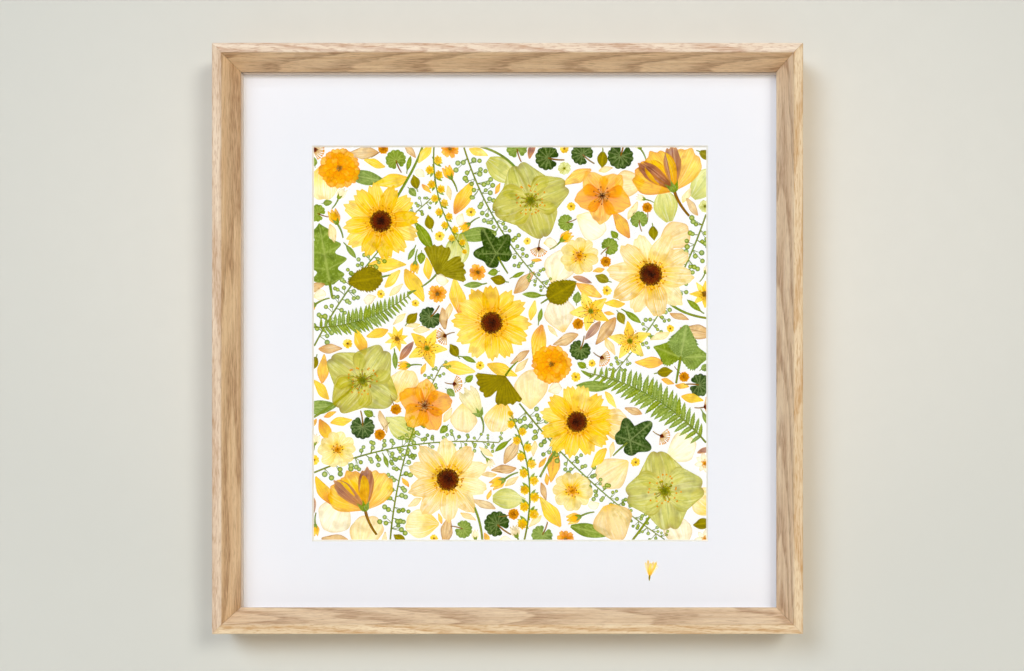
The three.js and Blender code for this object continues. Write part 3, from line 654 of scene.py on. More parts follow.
def rib_marks(size, ribs, width=0.5):
    """Ribs that run straight out from a leaf's foot, some half a millimetre wide, with finer twigs."""
    def mark(px, py, k):
        strongest = np.zeros(np.broadcast_shapes(px.shape, k.shape))
        for turn, length in ribs:
            dx, dy = polar(1.0, turn)
            along = (px * dx + py * dy) / (size * length)
            off = np.abs(px * dy - py * dx)
            rib = np.exp(-(off / width) ** 2) * (along > 0) * (along < 1.05)
            branch = np.abs(np.mod(6 * along - 1.2 * off / (size * length), 1.0) - 0.5)
            twig = 0.5 * np.exp(-(branch / 0.12) ** 2 - (off / (0.1 * size)) ** 2) * (along > 0)
            strongest = np.maximum(strongest, np.maximum(rib, twig))
        return strongest
    return mark


def ivy(plant, size):
    angles = np.arange(180, -181, -4)
    reach = [size * ivy_reach(a) for a in angles]
    plant.blade(angles, reach, DARK_LEAF, rib_marks(size, IVY_LOBES), rings=24)
    plant.sized_stem(size, ((0, -0.08), (0, -0.3), (0.02, -0.5)), (0.05, 0.03), STALK)


GINKGO_SPREAD = 66


def ginkgo_reach(degrees):
    waves = 0.02 * math.cos(0.42 * degrees) + 0.006 * math.sin(0.9 * degrees)
    cleft = 0.26 * math.exp(-(degrees / 5) ** 2)
    return 0.6 + waves - cleft


def ginkgo(plant, size):
    angles = np.arange(GINKGO_SPREAD, -GINKGO_SPREAD - 1, -2)
    fan = np.abs(np.mod(np.arange(len(angles)), 4) - 2.0)[None, :] / 2
    reach = [size * ginkgo_reach(a) for a in angles]
    plant.blade(angles, reach, OLIVE_LEAF, lambda px, py, k: 0.7 * fan * k ** 0.3, rings=16)
    plant.sized_stem(size, ((0, 0), polar(0.2, 180), polar(0.4, 170)), (0.045, 0.03), STALK)


def strawberry(plant, size):
    plant.sized_stem(size, ((0, 0.02), (0, -0.2), (0, -0.44)), (0.05, 0.035), STALK)
    for turn, reach, lift in ((78, 0.48, 0.25), (-78, 0.48, 0.3), (0, 0.56, 0.5)):
        plant.petal("leaflet", reach * size, turn, GREEN_LEAF, lift=lift, rows=43, cols=19,
                    serrate=(9, 0.1), ribs=8)


def birch(plant, size):
    plant.sized_stem(size, ((0, -0.25), (0, -0.4), (0.01, -0.5)), (0.05, 0.03), STALK)
    plant.petal("birch", 0.8 * size, 0, OLIVE_LEAF, y=-0.3 * size, rows=49, cols=15, serrate=(12, 0.1),
                ribs=7)


OAK_LOBES = 4


def oak_leaf(plant, size):
    t = np.linspace(0, 1, 66)[1:, None]
    s = np.linspace(-1, 1, 21)[None, :]
    lobe = 1 - 0.32 * np.cos(2 * np.pi * OAK_LOBES * t)
    half = size * (0.02 * (1 - t) + 0.2 * np.sin(np.pi * t ** 0.75) ** 0.7 * lobe)
    side = np.abs(np.mod(OAK_LOBES * (t - 0.1 * np.abs(s)) + 0.5, 1.0) - 0.5)
    ribs = np.maximum(np.exp(-(s / 0.08) ** 2), 0.7 * np.exp(-(side / 0.07) ** 2))
    plant.sheet(s * half, size * (0.84 * t - 0.34), 0.3 + 0.15 * np.abs(s), s / 2, t, t, ribs, GREEN_LEAF)
    plant.sized_stem(size, ((0, -0.28), (0, -0.4), (0, -0.5)), (0.04, 0.03), STALK)


def rose_petal(plant, size):
    plant.petal("rose", size, 0, ROSE, y=-size / 2, rows=20, cols=19, ripple=0.2, creases=3)


# Sprays on a bowed spine

SPRAY_BOW = 0.09


def spine_at(size, t):
    return np.array([SPRAY_BOW * size * 4 * t * (1 - t), size * t])


def spine(plant, size):
    plant.sized_stem(size, ((0, 0), (2 * SPRAY_BOW, 0.5), (0, 1)), (0.014, 0.008), STALK, 30, 0.35)


FERN_PAIRS = 22


def fern(plant, size):
    for i in range(FERN_PAIRS):
        t = 0.06 + 0.91 * i / FERN_PAIRS
        length = size * 0.135 * math.sin(math.pi * (0.16 + 0.8 * t)) ** 0.8
        x, y = spine_at(size, t)
        for turn in (62, -62):
            plant.petal("pinna", length, turn + plant.rng.uniform(-5, 5), GREEN_LEAF, x, y, 0.25, 19, 7,
                        serrate=(6, 0.2), bend=-0.1 * np.sign(turn), ribs=6, widen=0.95)
    plant.petal("pinna", 0.09 * size, 0, GREEN_LEAF, 0, 0.94 * size, 0.25, 12, 7)
    spine(plant, size)


MIMOSA_BALLS = 13
FLUFF_GRAINS = 16
FLUFF_POINTS = 41


def fluff_ball(plant, x, y, radius, lift=0.35):
    """A ball of stamens, pressed flat: a ragged disc with a spiral of grains."""
    angles = np.linspace(360, 0, FLUFF_POINTS)
    dents = 0.22 * (np.arange(FLUFF_POINTS) % 2) + plant.rng.uniform(0, 0.12, FLUFF_POINTS)
    ragged = radius * (1 - dents)
    ragged[-1] = ragged[0]
    plant.blade(angles, ragged, FLUFF, 0.0, lift, 5, x, y, 0.0, 0.7)
    reach = 0.86 * radius
    for share, aside, up in spiral(FLUFF_GRAINS):
        top = lift + 0.6 * (1 - share)
        plant.dot(x + reach * aside, y + reach * up, 0.2 * radius, 0.3, FLUFF, top, share)


def mimosa(plant, size):
    spine(plant, size)
    for i in range(MIMOSA_BALLS):
        t = 0.14 + 0.84 * i / MIMOSA_BALLS
        way = 1 if i % 2 else -1
        x, y = spine_at(size, t)
        radius = size * (0.046 - 0.012 * t)
        ball_x = x + way * 0.9 * radius
        plant.stem((x, y - radius), (x, y), (ball_x, y), 0.8, 0.6, STALK, 6)
        fluff_ball(plant, ball_x, y, radius)
        for turn in (40, 64):
            plant.petal("lance", 1.9 * radius, -way * turn, GREEN_LEAF, x, y, 0.3, 8, 5)
    fluff_ball(plant, 0, size, 0.026 * size)


# By kind: the drawing, the slot and the plants. Each has its middle, or its cut end if it is a spray, in
# millimetres from the window's middle, its size and its turn.
SPECIMENS = {
    "coreopsis": (coreopsis, "yellow_petal", [(-112, 106, 72, 8), (-16, 18, 72, 30), (58, -68, 68, 18)]),
    "dogwood": (dogwood, "lime_petal", [(18, 124, 80, 20), (-128, -32, 78, 52), (134, -128, 78, 8)]),
    "cosmos": (cosmos, "cream_petal", [(122, 60, 78, 12), (-54, -118, 76, 2)]),
    "nasturtium": (nasturtium, "orange_petal", [(80, 128, 52, 30), (-74, -54, 50, 64)]),
    "primrose": (primrose, "cream_petal", [(60, 76, 38, 14), (-150, -92, 38, 40), (54, -128, 40, 70)]),
    "pompom": (pompom, "orange_petal", [(36, -18, 38, 0), (-148, 152, 40, 12)]),
    "wort": (wort, "gold_petal", [(70, 28, 38, 24), (-72, -4, 38, 50), (104, 2, 38, 4)]),
    "poppy": (poppy, "gold_petal", [(142, 134, 64, 20), (-126, -143, 60, 14)]),
    "bell": (bell, "cream_petal", [(-26, -62, 44, 30)]),
    "ivy": (ivy, "dark_green_leaf", [(-12, 78, 40, 28), (104, -84, 40, -50)]),
    "ginkgo": (ginkgo, "olive_leaf", [(-64, 60, 42, -40), (-4, -28, 42, 150)]),
    "strawberry": (strawberry, "green_leaf", [(148, -12, 52, -10)]),
    "birch": (birch, "olive_leaf", [(42, 44, 36, -60), (-122, 56, 38, 100)]),
    "oak_leaf": (oak_leaf, "green_leaf", [(-160, 72, 66, 10)]),
    "rose_petal": (rose_petal, "cream_petal", [(90, -156, 34, 200)]),
    "fern": (fern, "green_leaf", [(170, -86, 122, 60), (-170, 14, 92, -70)]),
    "mimosa": (mimosa, "gold_petal", [(12, -172, 112, 6), (-66, 172, 96, -164)]),
}
# Seeds of the random draws: how plants are drawn, and where loose pieces lie
SPECIMEN_SEED = 100
SPRAY_SEED = 301
UNDER_SEED = 302
FILL_SEED = 310
MAT_BUD_SEED = 900
UNDER_PLACES_SEED = 11
FILL_PLACES_SEED = 7


class Room:
    """The free room on the board, as distances to the nearest plant on a grid of whole millimetres."""

    FAR = 30

    def __init__(self):
        self.side = int(WINDOW)
        self.taken = np.zeros((self.side, self.side), bool)
        self.distance = np.full(self.taken.shape, float(self.FAR))

    def cells(self, points):
        return np.clip(np.round(points + self.side / 2).astype(int), 0, self.side - 1)

    def take(self, points):
        cells = self.cells(points[(np.abs(points) < WINDOW / 2).all(1)])
        self.taken[cells[:, 0], cells[:, 1]] = True
        self.measure()

    def measure(self):
        """Grows the taken cells step by step, diagonally every second time, and notes each step."""
        self.distance[:] = self.FAR
        covered = self.taken.copy()
        self.distance[covered] = 0
        for step in range(1, self.FAR):
            grown = covered.copy()
            grown[1:] |= covered[:-1]
            grown[:-1] |= covered[1:]
            across = grown.copy() if step % 2 else covered
            grown[:, 1:] |= across[:, :-1]
            grown[:, :-1] |= across[:, 1:]
            self.distance[grown & ~covered] = step
            covered = grown

    def slack(self, x, y, turn, beads):
        """How much room is left round a row of circles; below 0 they don't fit."""
        room = []
        for along, radius in beads:
            dx, dy = polar(along, turn)
            row, column = self.cells(np.array([x + dx, y + dy]))
            room.append(self.distance[row, column] - radius)
        return min(room)

    def find(self, rng, beads, tries=120):
        """The tightest of some places that fit, or None."""
        best = None
        free = np.argwhere(self.distance >= max(radius for _, radius in beads))
        if not len(free):
            return None
        for pick in rng.integers(0, len(free), tries):
            x, y = free[pick] - self.side / 2
            turn = rng.uniform(0, 360)
            slack = self.slack(x, y, turn, beads)
            if slack >= 0 and (best is None or slack < best[0]):
                best = (slack, float(x), float(y), turn)
        return best and best[1:]


room = Room()
drawn = 0
for kind, (draw, slot, places) in SPECIMENS.items():
    for number, (x, y, size, turn) in enumerate(places, 1):
        name = "%s_%d" % (kind, number)
        plant = Plant(SPECIMEN_SEED + drawn)
        plant.start_at(x, y, turn)
        draw(plant, size)
        room.take(plant.footprint())
        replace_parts(plant.build(name + "_pressed", slot), name)
        drawn += 1


# Pieces that lie under the specimens and show between them

# How far apart the branches of a spray are, in millimetres, and the points on a pod's rim
POD_STEP = 4.4
POD_POINTS = 13


def pod_spray(plant, start, end, bow):
    """A long bowed stalk with round seed pods in twos and threes on fine branches to both sides."""
    start, end = np.array(start, float), np.array(end, float)
    run = (end - start) / np.linalg.norm(end - start)
    side = np.array([-run[1], run[0]])
    steps = int(np.linalg.norm(end - start) / POD_STEP)
    path = bezier(start, (start + end) / 2 + 2 * bow * side, end, steps)
    plant.stalk(path, 1.5, 0.9, STALK, lift=0.1)
    circle = np.linspace(360, 0, POD_POINTS)
    for i in range(2, steps):
        way = 1 if i % 2 else -1
        size = 1.15 - 0.5 * i / steps
        for k in range(plant.rng.integers(2, 4)):
            reach = size * (4.5 + 4.0 * k * plant.rng.uniform(0.5, 1.0))
            tip = path[i] + way * side * reach + run * plant.rng.uniform(-2, 5)
            plant.stem(path[i], (path[i] + tip) / 2 + run, tip, 0.6, 0.45, STALK, 5, 0.1)
            radius = np.full(POD_POINTS, size * plant.rng.uniform(1.7, 2.3))
            plant.blade(circle, radius, POD, lambda px, py, k: k ** 4, 0.12, 5, tip[0], tip[1], 0.0, 0.1)


# Start, end and bow of each spray
POD_SPRAYS = [
    ((-170, -2), (-66, 128), 8),
    ((-40, 170), (40, 40), -10),
    ((170, 112), (86, -30), 9),
    ((8, -52), (134, -170), -7),
    ((-170, -112), (-10, -86), 10),
    ((-104, -170), (-60, -20), 8),
]
# Start, end and bow of the flower stalks
STALKS = [
    ((18, 124), (-26, 171), 7),
    ((-128, -32), (-171, -64), -6),
    ((134, -128), (106, -171), 5),
    ((122, 60), (171, 22), -7),
    ((-54, -118), (-24, -171), 6),
    ((58, -68), (26, -116), -5),
    ((-112, 106), (-76, 171), 6),
]
STALK_WIDTH = 2.4
sprays = Plant(SPRAY_SEED, ripple=0.3)
for start, end, bow in POD_SPRAYS:
    pod_spray(sprays, start, end, bow)
for start, end, bow in STALKS:
    middle = ((start[0] + end[0]) / 2 + 2 * bow, (start[1] + end[1]) / 2 + 2 * bow)
    sprays.stem(start, middle, end, STALK_WIDTH, 0.8 * STALK_WIDTH, STALK, 16)
sprays.build("under_sprays", "green_leaf")
room.take(sprays.footprint())

# Loose petals and leaves: form, tissue, smallest and largest size
UNDER = [
    ("wedge", IVORY, 26, 36),
    ("spoon", BLUSH, 24, 32),
    ("wedge", ROSE, 26, 38),
    ("spoon", WORT, 24, 34),
    ("oval", LIME_LEAF, 24, 34),
    ("spoon", POPPY, 24, 34),
    ("lance", GREEN_LEAF, 28, 40),
    ("spoon", COREOPSIS, 24, 34),
    ("wedge", COSMOS, 26, 34),
]
UNDER_COUNT = 54
UNDER_SPACING = 22
# Nearest and farthest distance of their middles from the plants, and the heights at which they lie
UNDER_ROOM = (3, 9)
UNDER_LIFT = 0.02
UNDER_LIFT_STEP = 0.002

under = Plant(UNDER_SEED, ripple=0.12)
under_rng = np.random.default_rng(UNDER_PLACES_SEED)
between = (room.distance >= UNDER_ROOM[0]) & (room.distance <= UNDER_ROOM[1])
gaps = np.argwhere(between) - room.side / 2
centres = []
for pick in under_rng.permutation(len(gaps)):
    if len(centres) == UNDER_COUNT:
        break
    x, y = gaps[pick]
    if any(math.hypot(x - cx, y - cy) < UNDER_SPACING for cx, cy in centres):
        continue
    form, material, small, large = UNDER[len(centres) % len(UNDER)]
    size = under_rng.uniform(small, large)
    under.start_at(x, y, under_rng.uniform(0, 360))
    lift = UNDER_LIFT + UNDER_LIFT_STEP * len(centres)
    under.petal(form, size, 0, material, y=-size / 2, lift=lift, creases=2,
                bend=under_rng.uniform(-0.1, 0.1), ribs=6 if material is GREEN_LEAF else 0)
    centres.append((x, y))
under.build("under_petals", "cream_petal")
room.take(under.footprint())


# Small fillers in the gaps; each is drawn about its own middle

SMALL_FLORET = 15


def small_flower(form, petals, material, eye):
    def draw(plant, size):
        plant.whorl(form, petals, size / 2, material, rows=10, cols=9, step=0.12, loose=2.2)
        if size > SMALL_FLORET:
            plant.stamens(14, 0.04 * size, 0.2 * size, GOLD_SEED, GOLD_SEED, lift=0.55, grain=0.55)
        plant.seed_head(0.085 * size, 7, eye, 0.4, lift=0.6)
    return draw


def button(plant, size):
    plant.sized_stem(size, ((0, 0), (0.1, -0.8), (0, -1.5)), (0.11, 0.08), BROWN_STALK)
    plant.seed_head(0.5 * size, 36, GOLD_SEED, 0.8, lift=0.4)


UMBEL_TURNS = range(-60, 61, 15)


def umbel(plant, size):
    foot = np.array([0, -size / 2])
    for i, turn in enumerate(UMBEL_TURNS):
        reach = size * plant.rng.uniform(0.7, 0.95)
        tip = foot + polar(reach, turn)
        plant.stem(foot, foot + polar(0.5 * reach, 0.6 * turn), tip, 0.7, 0.5, BROWN_STALK, 8)
        for k in range(5):
            x, y = tip + polar(0.07 * size, 72 * k + 10 * i)
            plant.dot(x, y, 0.055 * size, 0.4, GOLD_SEED, 0.4)


BURR_TURNS = range(-70, 71, 14)


def burr(plant, size):
    """A dry seed head seen from the side, with bristles."""
    plant.sized_stem(size, ((0, 0), polar(0.3, 190), polar(0.55, 176)), (0.08, 0.05), BROWN_STALK)
    for turn in BURR_TURNS:
        x, y = polar(0.5 * size, turn + plant.rng.uniform(-4, 4))
        plant.stem((0, 0), polar(0.25 * size, 1.2 * turn), (x, y), 0.09 * size, 0.05 * size, BLUSH, 6, 0.3)
        plant.dot(x, y, 0.05 * size, 0.3, GOLD_SEED, 0.4)
    plant.petal("calyx", 0.3 * size, 0, BROWN_SEED, y=-0.06 * size, lift=0.5, rows=9, cols=9, widen=1.3)


def bud(material):
    def draw(plant, size):
        plant.sized_stem(size, ((0, 0), (0.06, -0.25), (0, -0.5)), (0.07, 0.045), STALK)
        for turn, lift in ((-16, 0.25), (16, 0.3), (0, 0.5)):
            plant.petal("wort", 0.5 * size, turn, material, lift=lift, rows=9, cols=9)
        for turn in (-24, 24):
            plant.petal("calyx", 0.24 * size, turn, GREEN_LEAF, 0, -0.03 * size, 0.7, 7, 7, widen=0.7)
    return draw


def loose(form, material):
    def draw(plant, size):
        plant.petal(form, size, 0, material, y=-size / 2, bend=plant.rng.uniform(-0.2, 0.2), creases=1,
                    widen=plant.rng.uniform(0.8, 1.1))
    return draw


def small_leaf(form, material, serrate=(0, 0.0)):
    def draw(plant, size):
        plant.sized_stem(size, ((0, -0.2), (0, -0.4), polar(0.5, 184)), (0.07, 0.05), STALK)
        plant.petal(form, 0.8 * size, 0, material, y=-0.3 * size, rows=25, cols=9, serrate=serrate, ribs=6,
                    bend=plant.rng.uniform(-0.08, 0.08))
    return draw


SCALLOPS = 11
SCALLOP_SPREAD = 164
SCALLOP_RIBS = tuple((turn, 0.42) for turn in (0, 30, -30, 60, -60, 90, -90, 120, -120))


def scallop_leaf(material):
    """A round leaf with a scalloped edge, a cleft at its foot and ribs from there."""
    def draw(plant, size):
        angles = np.arange(SCALLOP_SPREAD, -SCALLOP_SPREAD - 1, -4)
        share = np.abs(angles) / SCALLOP_SPREAD
        scallop = np.abs(np.cos(np.radians(angles) * 90 / SCALLOP_SPREAD * SCALLOPS)) ** 0.6
        edge = size * (0.42 + 0.06 * scallop) * (1 - 0.22 * share ** 3)
        ribs = rib_marks(size, SCALLOP_RIBS, 0.4)
        plant.blade(angles, edge, material, lambda px, py, k: 0.75 * ribs(px, py, k), rings=16)
        plant.sized_stem(size, ((0, 0), polar(0.3, 176), polar(0.6, 186)), (0.07, 0.05), BROWN_STALK)
    return draw


def round_beads(size):
    return [(0.0, 0.5 * size)]


def long_beads(width):
    def beads(size):
        return [(k * 0.34 * size, width * size * (0.5 if k == 0 else 0.36)) for k in (-1, 0, 1)]
    return beads


FILL_SLOTS = {
    "fill_leaves": "green_leaf",
    "fill_flowers": "yellow_petal",
    "fill_buds": "gold_petal",
    "fill_seeds": "gold_petal",
    "fill_petals": "cream_petal",
}
# Group, drawing, room it takes, smallest and largest size and how many
FILLERS = [
    ("fill_leaves", scallop_leaf(DARK_LEAF), round_beads, 20, 26, 8),
    ("fill_leaves", scallop_leaf(GREEN_LEAF), round_beads, 15, 21, 8),
    ("fill_flowers", small_flower("spoon", 8, WORT, BROWN_STALK), round_beads, 22, 28, 10),
    ("fill_flowers", small_flower("cosmos", 8, IVORY, GOLD_SEED), round_beads, 18, 24, 6),
    ("fill_buds", bud(POPPY), long_beads(0.36), 20, 28, 10),
    ("fill_flowers", small_flower("pompom", 9, POMPOM, BROWN_STALK), round_beads, 16, 21, 7),
    ("fill_seeds", burr, round_beads, 14, 18, 10),
    ("fill_seeds", umbel, round_beads, 15, 19, 8),
    ("fill_leaves", small_leaf("oval", OLIVE_LEAF), long_beads(0.5), 14, 19, 14),
    ("fill_petals", loose("spoon", BLUSH), long_beads(0.36), 16, 24, 14),
    ("fill_petals", loose("spoon", WORT), long_beads(0.36), 16, 24, 14),
    ("fill_buds", bud(IVORY), long_beads(0.36), 16, 22, 8),
    ("fill_flowers", small_flower("primrose", 5, LIME_LEAF, GREEN_SEED), round_beads, 11, 15, 20),
    ("fill_flowers", small_flower("primrose", 5, WORT, BROWN_STALK), round_beads, 8, 11, 22),
    ("fill_seeds", button, round_beads, 8, 11, 16),
    ("fill_leaves", small_leaf("lance", GREEN_LEAF), long_beads(0.3), 14, 22, 18),
    ("fill_petals", loose("lance", MAROON), long_beads(0.32), 14, 22, 16),
    ("fill_petals", loose("spoon", ROSE), long_beads(0.3), 12, 18, 24),
    ("fill_petals", loose("wedge", IVORY), long_beads(0.6), 10, 15, 16),
    ("fill_leaves", small_leaf("birch", GREEN_LEAF, (6, 0.12)), long_beads(0.5), 9, 13, 20),
    ("fill_petals", loose("spoon", POPPY), long_beads(0.4), 9, 12, 16),
]
FILL_GAP = 0.7

groups = {}
for group in FILL_SLOTS:
    groups[group] = Plant(FILL_SEED + len(groups), ground=0.12, ripple=0.5)
fill_rng = np.random.default_rng(FILL_PLACES_SEED)
for group, draw, beads_of, small, large, count in FILLERS:
    plant = groups[group]
    for _ in range(count):
        size = fill_rng.uniform(small, large)
        spot = room.find(fill_rng, beads_of(size + FILL_GAP))
        if spot is None:
            continue
        first = len(plant.sheets)
        plant.start_at(*spot)
        draw(plant, size)
        room.take(plant.footprint(first))
for group, plant in groups.items():
    plant.build(group, FILL_SLOTS[group])


# The small bud on the mat
MAT_BUD = (122.0, -203.5)
MAT_BUD_SIZE = 17.0
# Turn, share of the bud's size, lift and tissue of each petal
BUD_PETALS = (
    (17, 0.8, 0.1, COSMOS), (-36, 0.74, 0.12, IVORY), (-25, 0.87, 0.18, COREOPSIS), (6, 0.89, 0.22, COSMOS),
    (-5, 0.76, 0.26, WORT), (-15, 0.84, 0.3, COSMOS),
)
bud_plant = Plant(MAT_BUD_SEED, ripple=0.4)
for turn, length, lift, material in BUD_PETALS:
    bud_plant.petal("coreopsis", length * MAT_BUD_SIZE, turn, material, y=-0.1 * MAT_BUD_SIZE, lift=lift,
                    widen=0.4, creases=1)
bud_plant.petal("pinna", 0.3 * MAT_BUD_SIZE, 176, OLIVE_LEAF, 0, -0.02 * MAT_BUD_SIZE, 0.45, widen=1.1)
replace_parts(bud_plant.build("mat_bud_pressed", "yellow_petal", MAT_Y, MAT_BUD, trim=False), "mat_bud")


# Oak, paper, glass and the back

FACE = 8.0
# Middle of the sloping side, from the rail's outer edge and front, and the way it falls
SLOPE_MIDDLE = (13.6, 11.0)
SLOPE_WAY = (0.454, 0.891)


def oak(name, length_axis, inward, shift, pith, tones):
    """Plain-sawn oak. Its rings run round a pith that slants through the wood behind the sloping side.

    They cut that side as long arches and the flat face as fine lines.
    """
    graph = Graph(name, roughness=0.5, specular=0.25)
    # Millimetres along the rail, inward from its outer edge and behind its front
    axes = graph.node("SeparateXYZ", {0: graph.place()}).outputs
    along = graph.add(graph.times(axes[length_axis], 1 / MM), shift)
    across_axis, way, edge = inward
    across = graph.times(graph.minus(axes[across_axis], edge), way / MM)
    depth = graph.times(graph.minus(axes[1], FRONT_Y), 1 / MM)
    grain = graph.node("CombineXYZ", {0: along, 1: across, 2: depth}).outputs[0]
    # The same place seen from the middle of the sloping side: how far down it and how far off it
    in_from = graph.minus(across, SLOPE_MIDDLE[0])
    down_from = graph.minus(depth, SLOPE_MIDDLE[1])
    down_slope = graph.add(graph.times(in_from, SLOPE_WAY[0]), graph.times(down_from, SLOPE_WAY[1]))
    over_slope = graph.times(in_from, SLOPE_WAY[1])
    off_slope = graph.minus(over_slope, graph.times(down_from, SLOPE_WAY[0]))
    # The rings are distances from the pith
    aside, behind, slant, wave, width = pith
    wander = graph.stretched(grain, (0.006, 0.03, 0.03), 2.0)
    pith_depth = graph.add(graph.times(along, slant), graph.swing(wander, wave), behind - shift * slant)
    side = graph.add(down_slope, graph.swing(graph.stretched(grain, (0.004, 0.0, 0.0), 1.0), 16.0), -aside)
    back = graph.add(off_slope, pith_depth)
    radius = graph.math("SQRT", graph.add(graph.times(side, side), graph.times(back, back)))
    fuzz = graph.stretched(grain, (0.03, 0.5, 0.5), 3.0)
    ring = graph.math("FRACT", graph.times(graph.add(radius, graph.swing(fuzz, 1.6)), 1 / width))
    # Open pores lie in each ring's early wood, others and dark flecks anywhere
    pores = graph.stretched(grain, (0.09, 1.1, 1.1), 3.0)
    flecks = graph.stretched(grain, (0.12, 0.9, 0.9), 2.0)
    streaks = graph.stretched(grain, (0.012, 0.35, 0.35), 4.0)
    early = graph.times(graph.remap(ring, 0.0, 0.1), graph.remap(ring, 0.7, 0.14))
    dashes = graph.times(early, graph.remap(pores, 0.36, 0.62, 0.35, 1.0))
    # Flat face and sloping side have tones of their own; these carry each rail's painted sheen and shade
    on_slope = graph.remap(across, FACE - 0.4, FACE + 0.4)
    tone = {part: srgb(*colour) for part, colour in tones.items()}
    deep = graph.remap(streaks, 0.3, 0.7)
    face = graph.mix(deep, tone["face"], tone["face_deep"])
    slope = graph.mix(deep, tone["slope"], tone["slope_deep"])
    colour = graph.mix(on_slope, face, slope)
    ring_tone = graph.mix(on_slope, tone["face_ring"], tone["slope_ring"])
    colour = graph.mix(graph.times(dashes, 0.66), colour, ring_tone)
    colour = graph.mix(graph.remap(pores, 0.53, 0.66, 0.0, 0.32), colour, ring_tone)
    fleck = graph.times(graph.remap(flecks, 0.5, 0.66), graph.remap(on_slope, 0.0, 1.0, 0.5, 0.16))
    colour = graph.mix(fleck, colour, ring_tone)
    graph.colour(colour)
    graph.bump(graph.minus(streaks, pores), 0.15, 0.0004)
    return graph.material


def paper(name, colour, shade, core):
    """Card or board; its core shows on the cut edges."""
    graph = Graph(name, roughness=0.92, specular=0.1)
    pulp = graph.noise(graph.place(), 900.0, 4.0, 0.7)
    normal = graph.node("SeparateXYZ", {0: graph.node("NewGeometry").outputs["True Normal"]}).outputs
    facing = graph.remap(graph.math("ABSOLUTE", normal[1]), 0.8, 0.95)
    graph.colour(graph.mix(facing, srgb(*core), graph.mix(pulp, srgb(*colour), srgb(*shade))))
    graph.bump(pulp, 0.12, 0.0003)
    return graph.material


def hardboard():
    graph = Graph("hardboard", roughness=0.7, specular=0.3)
    flecks = graph.noise(graph.place(), 700.0, 5.0, 0.75)
    clouds = graph.noise(graph.place(), 14.0, 3.0, 0.6)
    colour = graph.mix(flecks, srgb(156, 118, 82), srgb(110, 78, 50))
    graph.colour(graph.mix(graph.times(clouds, 0.5), colour, srgb(134, 98, 66)))
    graph.bump(flecks, 0.3, 0.0004)
    return graph.material


def steel():
    graph = Graph("zinc_steel", roughness=0.35, specular=0.5, metallic=1.0)
    brush = graph.stretched(graph.place(), (60, 2500, 2500))
    graph.colour(graph.mix(brush, srgb(196, 194, 188), srgb(160, 158, 152)))
    graph.feed(graph.shader.inputs["Roughness"], graph.remap(brush, 0.2, 0.8, 0.28, 0.46))
    graph.bump(brush, 0.1, 0.0002)
    return graph.material


def rubber():
    graph = Graph("rubber", roughness=0.75, specular=0.3)
    grain = graph.noise(graph.place(), 1800.0, 3.0, 0.6)
    graph.colour(graph.mix(grain, srgb(52, 51, 49), srgb(70, 69, 66)))
    graph.bump(grain, 0.3, 0.0003)
    return graph.material


def glass():
    graph = Graph("picture_glass", roughness=0.0, specular=0.5)
    graph.shader.inputs["Base Color"].default_value = (1.0, 1.0, 1.0, 1.0)
    graph.shader.inputs["IOR"].default_value = 1.3
    graph.shader.inputs["Transmission Weight"].default_value = 1.0
    return graph.material


def dress(material, *names):
    for name in names:
        nodes[name].data.materials.clear()
        nodes[name].data.materials.append(material)


HALF = OUTER / 2 * MM
# Each rail has its own copy of the oak's tones, tuned to how light falls on that side: the top and left faces'
# paler, pinker tones are painted sheen, and the slope tones carry painted shade.
TOP_OAK_PAINTED_SHEEN_SHADE = {
    "face": (246, 229, 209), "face_deep": (233, 210, 186), "face_ring": (188, 140, 108),
    "slope": (242, 212, 172), "slope_deep": (227, 191, 149), "slope_ring": (148, 104, 70),
}
LEFT_OAK_PAINTED_SHEEN = {
    "face": (238, 218, 195), "face_deep": (222, 196, 169), "face_ring": (182, 142, 108),
    "slope": (241, 211, 170), "slope_deep": (226, 190, 147), "slope_ring": (156, 110, 70),
}
BOTTOM_RIGHT_OAK = {
    "face": (240, 218, 184), "face_deep": (222, 195, 157), "face_ring": (188, 138, 82),
    "slope": (242, 216, 182), "slope_deep": (226, 194, 157), "slope_ring": (160, 114, 80),
}
# Length axis, inward axis with its way and outer edge, shift along the grain, pith and tones.
# The pith is given by its shift down the slope, its depth behind it, its slant along the rail and how far
# it wanders; the last number is the width of a ring.
RAILS = {
    "rail_top": (0, (2, -1, CENTRE_Z + HALF), 0.0, (8.0, 40.0, -0.08, 10.0, 5.0), TOP_OAK_PAINTED_SHEEN_SHADE),
    "rail_left": (2, (0, 1, -HALF), 710.0, (10.0, 42.0, 0.03, 14.0, 6.5), LEFT_OAK_PAINTED_SHEEN),
    "rail_bottom": (0, (2, 1, CENTRE_Z - HALF), 1900.0, (-3.0, 34.0, 0.05, 12.0, 4.5), BOTTOM_RIGHT_OAK),
    "rail_right": (2, (0, -1, HALF), 3300.0, (7.0, 38.0, 0.07, 12.0, 5.0), BOTTOM_RIGHT_OAK),
}
for name, (length_axis, inward, shift, pith, tones) in RAILS.items():
    dress(oak("oak_" + name, length_axis, inward, shift, pith, tones), name)
dress(paper("mat_card", (241, 243, 250), (238, 240, 247), (240, 237, 228)), "mat")
SPACERS = ["spacer_" + side for side in ("top", "bottom", "left", "right")]
